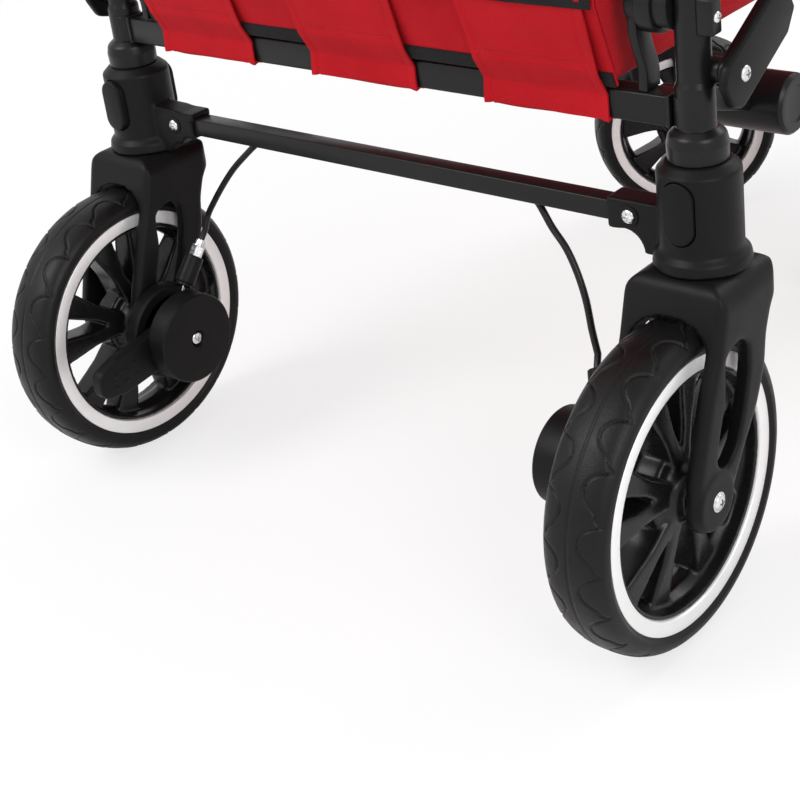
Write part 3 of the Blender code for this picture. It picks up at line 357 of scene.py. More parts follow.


# for woven cloth, the valley value is how dark the painted shade in the weave's valleys goes
finishes = {
    "plastic": {"slot": "plastic", "colour": (0.004, 0.004, 0.0043), "second": (0.0066, 0.0065, 0.0069),
                "rough": (0.36, 0.5), "cloudScale": 9, "kind": "grain", "grain": 1900, "bump": 0.16,
                "depth": 0.0003, "specular": 0.13},
    "rimPlastic": {"slot": "plastic", "colour": (0.005, 0.005, 0.0053), "second": (0.008, 0.008, 0.0084),
                   "rough": (0.22, 0.34), "cloudScale": 14, "kind": "grain", "grain": 700, "bump": 0.05,
                   "depth": 0.0003, "specular": 0.26},
    "coat": {"slot": "frame_coat", "colour": (0.0052, 0.0052, 0.0056), "second": (0.008, 0.0079, 0.0084),
             "rough": (0.26, 0.4), "cloudScale": 7, "kind": "grain", "grain": 620, "bump": 0.1,
             "depth": 0.0003, "specular": 0.2, "coat": 0.02, "coatRough": 0.3},
    "rubber": {"slot": "tyre", "colour": (0.0036, 0.0036, 0.0038), "second": (0.0064, 0.0063, 0.0062),
               "rough": (0.32, 0.48), "cloudScale": 22, "kind": "pebble", "grain": 950, "bump": 0.3,
               "depth": 0.0004, "specular": 0.19},
    "zinc": {"slot": "screw", "colour": (0.6, 0.6, 0.61), "second": (0.74, 0.74, 0.76), "rough": (0.16, 0.3),
             "cloudScale": 300, "kind": "grain", "grain": 900, "bump": 0.08, "depth": 0.0002, "metallic": 1.0},
    "alloy": {"slot": "alloy", "colour": (0.5, 0.5, 0.52), "second": (0.58, 0.58, 0.6), "rough": (0.26, 0.38),
              "cloudScale": 60, "kind": "grain", "grain": 1500, "bump": 0.08, "depth": 0.0002, "metallic": 0.95},
    "foam": {"slot": "foam", "colour": (0.009, 0.009, 0.0096), "second": (0.015, 0.015, 0.0157),
             "rough": (0.8, 0.95), "cloudScale": 30, "kind": "pebble", "grain": 900, "bump": 0.55,
             "depth": 0.0008, "specular": 0.15, "sheen": 0.1},
    "cableSkin": {"slot": "cable", "colour": (0.005, 0.005, 0.0053), "second": (0.008, 0.008, 0.0083),
                  "rough": (0.24, 0.34), "cloudScale": 40, "kind": "grain", "grain": 800, "bump": 0.04,
                  "depth": 0.0002, "specular": 0.26},
    "redCloth": {"slot": "cloth", "colour": (0.4, 0.0045, 0.01), "second": (0.47, 0.007, 0.014),
                 "rough": (0.66, 0.84), "cloudScale": 12, "kind": "weave", "grain": 1000, "bump": 0.35,
                 "depth": 0.0004, "specular": 0.1, "sheen": 0.03, "valleyShade": 0.8},
    "redThread": {"slot": "cloth", "colour": (0.5, 0.012, 0.018), "second": (0.56, 0.018, 0.025),
                  "rough": (0.5, 0.66), "cloudScale": 200, "kind": "grain", "grain": 2600, "bump": 0.3,
                  "depth": 0.0003, "specular": 0.2},
    "blackWeb": {"slot": "cloth", "colour": (0.007, 0.007, 0.0076), "second": (0.012, 0.012, 0.0128),
                 "rough": (0.7, 0.86), "cloudScale": 18, "kind": "weave", "grain": 800, "rib": 0.35, "bump": 0.5,
                 "depth": 0.0006, "specular": 0.15, "sheen": 0.05, "valleyShade": 0.6},
}
looks = {name: makeFinish(name, look) for name, look in finishes.items()}
ringLook = {"slot": "ring", "colour": (0.84, 0.84, 0.835), "second": (0.9, 0.9, 0.895), "rough": (0.32, 0.4),
            "cloudScale": 12, "kind": "rings", "grain": 1500, "bump": 0.02, "depth": 0.0001, "metallic": 0.45}


def ringFinish(name, centre):
    finishes[name] = dict(ringLook, centre=centre)
    looks[name] = makeFinish(name, finishes[name])
    return name


print("finishes made:", len(looks))

# camera at the photograph's place
view = {"azimuth": 43.6618, "elevation": 25.6511, "roll": -7.6681, "place": (0.8913, -1.2447, 0.8055),
        "focal": 1675.49, "frame": 800, "middleX": 399.78, "middleY": 299.86, "sensor": 36}


def aimCamera():
    az, el, roll = (radians(view[key]) for key in ("azimuth", "elevation", "roll"))
    right = Vector((cos(az), sin(az), 0))
    back = Vector((sin(az) * cos(el), -cos(az) * cos(el), sin(el)))
    up = right.cross(-back)
    rolledRight = right * cos(roll) + up * sin(roll)
    rolledUp = up * cos(roll) - right * sin(roll)
    data = bpy.data.cameras.new("photoCamera")
    data.sensor_width = view["sensor"]
    data.lens = view["focal"] / view["frame"] * view["sensor"]
    data.shift_x = (view["frame"] / 2 - view["middleX"]) / view["frame"]
    data.shift_y = (view["middleY"] - view["frame"] / 2) / view["frame"]
    data.clip_start = 0.05
    turn = Matrix((rolledRight, rolledUp, back)).transposed().to_4x4()
    scene.camera = linked("photoCamera", data)
    scene.camera.matrix_world = Matrix.Translation(view["place"]) @ turn


aimCamera()

# stage: a pale floor, a pale world and three soft lamps
stage = {"floorSize": 14, "floorTone": 0.93, "paleShare": 0.7, "fill": 0.62, "aim": (0, -0.1, 0.3), "lamps": {
    "key": {"place": (-1.6, -3.0, 3.4), "size": 2.6, "power": 105},
    "side": {"place": (3.2, -1.6, 2.4), "size": 2.2, "power": 60},
    "back": {"place": (0.6, 3.2, 3.0), "size": 2.4, "power": 55},
}}


def buildStage():
    bm = bmesh.new()
    bmesh.ops.create_grid(bm, x_segments=1, y_segments=1, size=stage["floorSize"] / 2)
    floor = asObject("floor", bm)
    finish, tree, add, shader = newFinish("paleFloor")
    shader.inputs["Base Color"].default_value = (*[stage["floorTone"]] * 3, 1)
    shader.inputs["Roughness"].default_value = 0.9
    shader.inputs["Specular IOR Level"].default_value = 0.1
    # the lens sees the floor paler than its shadow is
    lens = add("LightPath", "Is Camera Ray")
    share = add("Math", "Value", {0: lens}, operation="MULTIPLY", in_1=stage["paleShare"])
    both = add("MixShader", "Shader", {"Fac": share, 1: shader.outputs["BSDF"], 2: add("Emission", "Emission")})
    tree.links.new(both, tree.nodes["Material Output"].inputs["Surface"])
    floor.data.materials.append(finish)
    world = bpy.data.worlds.new("softStudio")
    scene.world = world
    world.use_nodes = True
    tree = world.node_tree
    add = adder(tree)
    lens, gloss, clear = (add("LightPath", f"Is {kind} Ray") for kind in ("Camera", "Glossy", "Transmission"))
    seen = add("Math", "Value", {0: lens, 1: gloss}, operation="MAXIMUM")
    seen = add("Math", "Value", {0: seen, 1: clear}, operation="MAXIMUM")
    level = add("MapRange", "Result", {"Value": seen}, in_To_Min=stage["fill"], in_To_Max=1.0)
    sky = tree.nodes["Background"]
    sky.inputs["Color"].default_value = (1, 1, 1, 1)
    tree.links.new(level, sky.inputs["Strength"])
    for name, lamp in stage["lamps"].items():
        data = bpy.data.lights.new(name, "AREA")
        data.shape = "DISK"
        data.size = lamp["size"]
        data.energy = lamp["power"]
        light = linked(name, data)
        light.location = lamp["place"]
        light.rotation_euler = (Vector(stage["aim"]) - light.location).to_track_quat("-Z", "Y").to_euler()
    scene.view_settings.view_transform = "Standard"


buildStage()

# the two kinds of wheel: tyre, ring, the trail and stem of the fork, and how the tyre is divided
wheels = {
    "rear": {"tyreR": 0.127, "ringR": 0.108, "ringWide": 0.0115, "trail": 0.064, "waves": 20, "steps": 800,
             "stemR": 0.0125, "stemTop": 0.173},
    "front": {"tyreR": 0.105, "ringR": 0.088, "ringWide": 0.0095, "trail": 0.05, "waves": 17, "steps": 600,
              "stemR": 0.008, "stemTop": 0.396 - wagon["frontAxleZ"]},
}

# tyres: round shoulders, a wavy groove on each and a fine line round the middle
tyre = {"width": 0.0265, "seatHalf": 0.024, "crownRise": 0.0148, "bulge": 2.5, "spacing": 0.00092, "edge": 0.0282,
        "span": 0.0205, "waveDepth": 0.00135, "waveWidth": 0.00082, "lineDepth": 0.0007, "lineWidth": 0.0008,
        "padDepth": 0.00022, "padEdge": 0.0005,
        "wave": [(0, 0.13), (0.03, 0.36), (0.08, 0.6), (0.15, 0.8), (0.24, 0.93), (0.36, 1), (0.49, 0.95), (0.6, 0.81),
                 (0.68, 0.64), (0.745, 0.5), (0.8, 0.43), (0.86, 0.41), (0.91, 0.36), (0.96, 0.24), (1, 0.13)]}


def spaced(points, step):
    # the same line with points at an even distance
    line = np.array(points, float)
    runs = np.r_[0, np.cumsum(np.linalg.norm(np.diff(line, axis=0), axis=1))]
    marks = np.linspace(0, runs[-1], max(2, int(round(runs[-1] / step)) + 1))
    return np.c_[np.interp(marks, runs, line[:, 0]), np.interp(marks, runs, line[:, 1])], marks


def mirrored(points):
    return points + [(r, -h, *more) for r, h, *more in reversed(points)]


def buildTyre(name, wheel, place):
    outerR, seatR, seatHalf = wheel["tyreR"], wheel["ringR"] + 0.0003, tyre["seatHalf"]
    crownR, rise, power = outerR - tyre["crownRise"], tyre["crownRise"], 2 / tyre["bulge"]
    turns = [pi / 2 * i / 60 for i in range(61)]
    curve = [(crownR + rise * sin(a) ** power, tyre["width"] * cos(a) ** power) for a in turns]
    line, marks = spaced([(seatR, seatHalf), (seatR + 0.0012, seatHalf + 0.0006), *curve], tyre["spacing"])
    half = [tuple(p) for p in line]
    profile = half + [(r, -h) for r, h in reversed(half[:-1])] + [(seatR, 0.004 - seatHalf), (seatR, seatHalf - 0.004)]
    bm = lathe(profile, wheel["steps"], across)
    bm.normal_update()
    co = np.array([v.co for v in bm.verts])
    normal = np.array([v.normal for v in bm.verts])
    radius = np.hypot(co[:, 1], co[:, 2])
    angle = np.arctan2(co[:, 2], co[:, 1])
    # how far each point lies from the crown, along the section
    table = line[:, 0] - line[:, 1] * 0.35
    order = np.argsort(table)
    away = np.interp(radius - np.abs(co[:, 0]) * 0.35, table[order], (marks[-1] - marks)[order])
    period = tau * outerR / wheel["waves"]
    s = ((angle / tau * wheel["waves"] + np.where(co[:, 0] > 0, 0.0, 0.5)) % 1.0) * period
    w = tyre["edge"] - away
    wave = np.array(tyre["wave"]) * [period, tyre["span"]]
    nearest = np.full(len(co), 1.0)
    for shift in (-1, 0, 1):
        for a, b in zip(wave[:-1], wave[1:]):
            ax, aw = a[0] + shift * period, a[1]
            dx, dw = b[0] - a[0], b[1] - a[1]
            share = np.clip(((s - ax) * dx + (w - aw) * dw) / (dx * dx + dw * dw), 0, 1)
            nearest = np.minimum(nearest, np.hypot(s - ax - share * dx, w - aw - share * dw))
    sink = tyre["waveDepth"] * np.exp(-((nearest / tyre["waveWidth"]) ** 2))
    sink += tyre["lineDepth"] * np.exp(-((away / tyre["lineWidth"]) ** 2))
    # the pads between the waves stand a little below the tread
    lineHere = np.interp(s, wave[:, 0], wave[:, 1])
    sink += tyre["padDepth"] / (1 + np.exp(-(lineHere - w) / tyre["padEdge"])) * (w > 0.0008)
    co -= normal * (sink * (radius > seatR + 0.0015))[:, None]
    for v, spot in zip(bm.verts, co):
        v.co = spot
    return asObject(name, shifted(bm, place), 60)


# silver ring on each wheel, its lettering left bare
ring = {"half": 0.0244, "dish": 0.0006, "lip": 0.0022, "round": 0.0006}


def buildRing(name, wheel, place):
    outerR, half, soft = wheel["ringR"], ring["half"], ring["round"]
    inner = outerR - wheel["ringWide"]
    face = [(inner - 0.0009, half - ring["lip"]), (inner, half - ring["dish"], soft), (outerR, half, soft)]
    return asObject(name, shifted(turned(mirrored(face), 128, across, corner=3), place), 30)


# black rim: hub, ten spokes in pairs, and a barrel that thickens in its middle
rim = {"pairs": 5, "spread": 15.0, "hubHalf": 0.0285, "spokeWide": (0.015, 0.0138, 0.027), "spokeHalf": 0.016,
       "bore": 0.0064, "voxel": 0.00145}


def buildRim(wheel):
    edge = wheel["ringR"] - wheel["ringWide"] - 0.0012
    half = ring["half"] - ring["lip"] + 0.0004
    slope = half * 0.55
    barrel = [
        (edge, half, 0.0008), (edge, -half, 0.0008), (edge - 0.0026, -half, 0.0008), (edge - 0.0036, -slope, 0.006),
        (edge - 0.0085, -0.0045, 0.004), (edge - 0.0085, 0.0045, 0.004), (edge - 0.0036, slope, 0.006),
        (edge - 0.0026, half, 0.0008)]
    end = rim["hubHalf"]
    hub = [(0, end - 0.003), (0.0125, end - 0.003), (0.0135, end, 0.001), (0.019, end, 0.0015), (0.0205, 0.02, 0.003),
           (0.027, 0.0135, 0.004), (0.0275, -0.0135, 0.004), (0.0205, -0.02, 0.003), (0.019, -end, 0.0015),
           (0.0135, -end, 0.001), (0.0125, 0.003 - end), (0, 0.003 - end)]
    shapes = [turned(barrel, 96, across), turned(hub, 64, across, False)]
    long = edge - 0.0045
    stations = list(zip((0.0, 0.5, 1.0), rim["spokeWide"]))
    for i in range(rim["pairs"]):
        middle = tau * i / rim["pairs"] + pi / 2
        for side in (-1, 1):
            away = middle + side * radians(rim["spread"])
            start = Vector((cos(middle), sin(middle))) * 0.014
            run = Vector((cos(away), sin(away))) * long - start
            aside = Vector((-run.y, run.x)).normalized()
            outline = [(*(start + run * share + aside * (way * wide / 2)), 0.05 if share == 0.5 else 0)
                       for way, order in ((-1, stations), (1, stations[::-1])) for share, wide in order]
            deep = rim["spokeHalf"]
            bm = slab(roundPath(outline, True, 5), -deep, deep, sideView, 0.0028)
            for v in bm.verts:
                v.co.x *= 1.12 - 0.46 * min(1.0, hypot(v.co.y, v.co.z) / long) ** 1.4
            shapes.append(bm)
    web = [(0.021, 0.0135, 0.003), (0.0345, 0.0105, 0.003), (0.0345, -0.0105, 0.003), (0.021, -0.0135, 0.003)]
    shapes.append(turned(web, 64, across, corner=3))
    obj = moulded(asObject("rimBlank", merged(shapes)), rim["voxel"], 5, 0.5)
    return carved(obj, [rod((-0.04, 0, 0), (0.04, 0, 0), rim["bore"])], sharp=60)


# fork: crown, two slotted legs and a boss at the axle; edges are (share of height, offset, corner)
fork = {"half": 0.0428, "face": 0.044, "wall": 0.013, "clear": 0.0035, "rise": 0.019, "crownH": 0.026,
        "crownHalf": 0.0365, "shoulder": 0.021, "legEnd": 0.0262, "bossR": 0.0235, "bend": 0.016, "voxel": 0.00145,
        "rear": [(0.9, -0.0385, 0.05), (0.69, -0.035, 0.06), (0.54, -0.0366, 0.06), (0.3, -0.035, 0.05),
                 (0.13, -0.0325, 0.03)],
        "front": [(0.128, 0.0348, 0.03), (0.307, 0.045, 0.05), (0.479, 0.0468, 0.05), (0.64, 0.04, 0.05),
                  (0.76, 0.04, 0.03)],
        "window": [(0.12, 0.011, 0.009), (0.165, -0.008, 0.01), (0.32, -0.0108, 0.03), (0.47, -0.0115, 0.03),
                   (0.69, -0.0232, 0.01), (0.722, -0.004, 0.012), (0.662, 0.01, 0.012), (0.543, 0.0175, 0.03),
                   (0.357, 0.021, 0.03), (0.2, 0.02, 0.012)]}


def buildFork(wheel):
    trail, size = wheel["trail"], wheel["tyreR"] / wheels["rear"]["tyreR"]
    ceiling = wheel["tyreR"] + fork["clear"]
    top = ceiling + fork["crownH"]
    crown, half = fork["crownHalf"] * size, fork["half"]
    rear, front = trail - crown, trail + crown

    def edge(share, offset, radius):
        return (trail * share + offset * size, top * share, radius)

    outline = roundPath([
        (rear - 0.003 * size, top, 0.012 * size), *[edge(*spot) for spot in fork["rear"]],
        *arc((0, 0), fork["legEnd"] * size, 160, 345, 16), *[edge(*spot) for spot in fork["front"]],
        (front - 0.001, top * 0.84, 0.03), (front, top, 0.012 * size)], True, 6)
    body = asObject("forkBlank", slab(outline, -half, half, sideView, 0.0075, 4))
    # the crown's shoulders in front view, and its front corners in plan
    shoulder, bend = fork["shoulder"] * size + 0.002, fork["bend"] * size
    flat, drop = 0.0325 * size, top - 0.012 * size
    gate = roundPath([(-half, -0.05), (half, -0.05), (half, drop, shoulder), (flat, top, shoulder * 0.8),
                      (-flat, top, shoulder * 0.8), (-half, drop, shoulder)], True, 8)
    plan = roundPath([(-half, -0.08), (half, -0.08), (half, front, bend), (-half, front, bend)], True, 8)
    carved(body, [slab(gate, -0.09, 0.2, frontView), slab(plan, -0.08, 0.3, topView)], "INTERSECT")
    bosses = [sideRod(side, half - 0.006, fork["face"], (0, 0), fork["bossR"] * size, 0.0022, 40) for side in (-1, 1)]
    carved(body, [merged(bosses)], "UNION")
    # room for the wheel, arched at its top, and the window through both legs
    inside, rise = fork["face"] - fork["wall"], fork["rise"]
    turns = [pi * i / 20 for i in range(21)]
    arch = [(inside * cos(a), ceiling - rise + rise * sin(a)) for a in turns]
    channel = slab([(inside, -0.08), *arch, (-inside, -0.08)], -0.09, 0.2, frontView)
    window = roundPath([edge(share, offset, radius * size) for share, offset, radius in fork["window"]], True, 5)
    whole = bringBack(carved(body, [channel, slab(window, -0.1, 0.1)]))
    stem = rod((0, trail, top - 0.01), (0, trail, wheel["stemTop"]), wheel["stemR"], 0.001)
    crownTop = rod((0, trail, top - 0.006), (0, trail, top - 0.0002), 0.0345 * size, 0.001, 48)
    return moulded(asObject("forkBlank", merged([whole, stem, crownTop])), fork["voxel"], 12, 0.5)


def buildWheels():
    rims = {end: buildRim(wheel) for end, wheel in wheels.items()}
    forks = {end: buildFork(wheel) for end, wheel in wheels.items()}
    print("rims and forks moulded")
    _, axleY, axleZ = wagon["rearAxle"]
    for side, word in bothSides:
        yaw = wagon["leftYaw"] if side < 0 else 0.0
        swivel = Vector((side * wagon["casterX"], wagon["casterY"], wagon["frontAxleZ"]))
        centre = swivel + Matrix.Rotation(yaw, 3, "Z") @ Vector((0, -wheels["front"]["trail"], 0))
        places = {"rear": Matrix.Translation((side * postX, axleY, axleZ)),
                  "front": Matrix.Translation(centre) @ Matrix.Rotation(yaw, 4, "Z")}
        holders = {"rear": (f"rearFork_{word}", "rear_frame", f"rear_fork_{word}"),
                   "front": (f"casterFork_{word}", f"caster_{word}", f"caster_fork_{word}")}
        for end, place in places.items():
            wheel, body = wheels[end], f"{end}_wheel_{word}"
            fit(buildTyre(f"{end}Tyre_{word}", wheel, place), "rubber", body, f"{end}_tyre_{word}")
            finish = ringFinish(f"ring_{end}_{word}", tuple(place.translation))
            ringNode = f"rear_ring_{word}" if end == "rear" else f"front_rim_{word}"
            fit(buildRing(f"{end}Ring_{word}", wheel, place), finish, body, ringNode)
            fit(placedCopy(rims[end], f"{end}Rim_{word}", place), "rimPlastic", body, f"{end}_rim_{word}")
            name, holder, node = holders[end]
            fit(placedCopy(forks[end], name, place), "plastic", holder, node)
        axle = [screwHead((way * 0.0436, 0, 0), (way * 0.0476, 0, 0), 0.0078, 0.0032) for way in (-1, 1)]
        axle.append(rod((-0.0438, 0, 0), (0.0438, 0, 0), 0.0059, 0, 24))
        piece(f"casterAxle_{word}", axle, "zinc", f"caster_{word}", place=places["front"])
    for blank in (*rims.values(), *forks.values()):
        bpy.data.objects.remove(blank)
    print("wheels and forks built")


buildWheels()

# sleeves with their brackets, the buttons and the crossbar
sleeve = {"r": 0.0305, "topR": 0.0235, "chamfer": 0.0065, "flangeR": 0.0365, "flangeH": 0.009, "bore": 0.0128,
          "voxel": 0.0012, "buttonR": 0.012, "buttonH": 0.048, "buttonZ": 0.33, "pocket": 0.0125,
          "proud": {"left": 0.0045, "right": 0.0012}, "bar": 0.016, "barEnd": 0.2612, "wall": 0.0032,
          "screwX": 0.2459, "cableHoles": (-0.149, 0.154)}


def buildSleeves():
    low, top, barZ = wagon["crownZ"] + 0.0003, wagon["sleeveTop"], wagon["barZ"]
    r, flangeR, flangeTop, bore = sleeve["r"], sleeve["flangeR"], low + sleeve["flangeH"], sleeve["bore"]
    half = sleeve["bar"] / 2
    reach, hold = half + sleeve["wall"], half + 0.0004
    buttonR, z = sleeve["buttonR"], sleeve["buttonZ"]
    straight = sleeve["buttonH"] / 2 - buttonR
    tube = [(sleeve["topR"], top, 0.001), (r, top - sleeve["chamfer"], 0.0012), (r, flangeTop + 0.004, 0.004),
            (flangeR - 0.0015, flangeTop - 0.0005, 0.0022), (flangeR, low, 0.0012), (bore, low), (bore, top)]
    # each side's bracket in front view, from its end to the sleeve
    brackets = {
        "right": [(0.2265, barZ + reach + 0.001), (0.2265, barZ - reach - 0.0005), (0.23, barZ - reach - 0.0016),
                  *arc((0.2405, 0.2835), 0.0168, 88, 2, 8), (0.259, low), (0.286, low), (0.286, barZ + reach + 0.001)],
        "left": [(0.2225, barZ + reach), (0.2225, barZ - reach), (0.2345, barZ - reach - 0.0005),
                 *arc((0.244, 0.285), 0.0085, 110, 30, 5), (0.2555, low + 0.002), (0.262, low - 0.0002), (0.286, low),
                 (0.286, barZ + reach + 0.004), (0.25, barZ + reach + 0.003)]}
    for side, word in bothSides:
        x = side * postX
        shapes = [turned(tube, 72, Matrix.Translation((x, rearY, 0)))]
        outline = [(side * u, v) for u, v in brackets[word]]
        shapes.append(slab(outline, rearY - reach, rearY + reach, frontView, 0.0014))
        if side < 0:
            shapes.append(block((-0.244, rearY - reach - 0.0004, barZ + reach - 0.0055),
                                (-0.2195, rearY + reach + 0.0004, barZ + reach + 0.0015), 0.0014))
        obj = moulded(asObject(f"sleeve_{word}", merged(shapes)), sleeve["voxel"], 3)
        ends = (x, z - straight), (x, z + straight)
        face = rearY - r
        pocket = slab(stadium(*ends, buttonR + 0.0008), face - 0.01, face + sleeve["pocket"] - 0.001, frontView)
        socket = block((side * 0.2, rearY - hold, barZ - hold), (side * 0.262, rearY + hold, barZ + hold))
        carved(obj, [pocket, socket], sharp=42)
        fit(obj, "plastic", "rear_frame", f"rear_sleeve_{word}")
        proud, shape = sleeve["proud"][word], stadium(*ends, buttonR - 0.0002)
        pad = slab(shape, face - proud, face + 0.008, frontView, min(0.0022, proud * 0.8), 3)
        piece(f"wheelButton_{word}", [pad], "plastic", f"button_{word}", f"wheel_button_{word}")
        back = slab(shape, rearY + r - 0.0045, rearY + r + 0.0042, frontView, 0.0022, 3)
        piece(f"backButton_{word}", [back], "plastic", "rear_frame")
    end = sleeve["barEnd"]
    bar = block((-end, rearY - half, barZ - half), (end, rearY + half, barZ + half), 0.0014)
    under = barZ - half
    holes = [slab(stadium((x - 0.006, rearY), (x + 0.006, rearY), 0.0042), under - 0.01, under + 0.003, topView)
             for x in sleeve["cableHoles"]]
    fit(carved(asObject("crossTube", bar, 60), holes, sharp=60), "coat", "rear_frame", "crossbar")
    washers, screws = [], []
    for side in (-1, 1):
        x = side * sleeve["screwX"]

        def bolt(start, end, radius, bevel, steps=32):
            return rod((x, rearY + start, barZ), (x, rearY + end, barZ), radius, bevel, steps)

        washers += [bolt(0.0006 - reach, -reach - 0.0009, 0.0082, 0.0005),
                    bolt(reach - 0.0006, reach + 0.0009, 0.0078, 0.0005)]
        screws += [screwHead((x, rearY - reach - 0.0006, barZ), (x, rearY - reach - 0.0036, barZ), 0.0056, 0.0022),
                   bolt(reach + 0.0006, reach + 0.0044, 0.0056, 0.0004, 6)]
    piece("barWashers", washers, "plastic", "rear_frame")
    piece("barScrews", screws, "zinc", "rear_frame")
    print("sleeves and crossbar built")


buildSleeves()

# brake units: drum, lever and cover on each rear axle, and the cable between them
brake = {"drumR": 0.045, "drumOut": 0.2557, "drumIn": 0.2399, "armOut": 0.2393, "armIn": 0.2261, "armHubR": 0.028,
         "coverOut": 0.2255, "coverIn": 0.204, "coverR": {"left": 0.042, "right": 0.039}, "axleR": 0.0059,
         "forkFace": 0.3436, "screwR": 0.0062, "barrelR": 0.0092, "hexR": 0.0062, "cableR": 0.00285,
         "rightLean": 0.0125, "cableFoot": Vector((0.0165, 0.0405)), "cableWay": Vector((0.033, 0.036)).normalized()}


def cableEnd(reach):
    return tuple(brake["cableFoot"] + brake["cableWay"] * reach)


def smoothLine(points, steps):
    line = [Vector(point) for point in points]
    line = [2 * line[0] - line[1], *line, 2 * line[-1] - line[-2]]
    path = []
    for a, b, c, d in zip(line, line[1:], line[2:], line[3:]):
        for i in range(steps):
            t = i / steps
            path.append(0.5 * (2 * b + (c - a) * t + (2 * a - 5 * b + 4 * c - d) * t**2
                               + (3 * b - a - 3 * c + d) * t**3))
    path.append(line[-2])
    return path


def pipe(points, radius, sides):
    data = bpy.data.curves.new("pipe", "CURVE")
    data.dimensions = "3D"
    data.bevel_depth = radius
    data.bevel_resolution = sides
    data.use_fill_caps = True
    spline = data.splines.new("POLY")
    spline.points.add(len(points) - 1)
    for point, place in zip(spline.points, points):
        point.co = (*place, 1)
    curve = linked("pipe", data)
    mesh = evaluated(curve)
    bpy.data.objects.remove(curve)
    bm = bmesh.new()
    bm.from_mesh(mesh)
    bpy.data.meshes.remove(mesh)
    bmesh.ops.remove_doubles(bm, verts=bm.verts, dist=0.000001)
    return bm


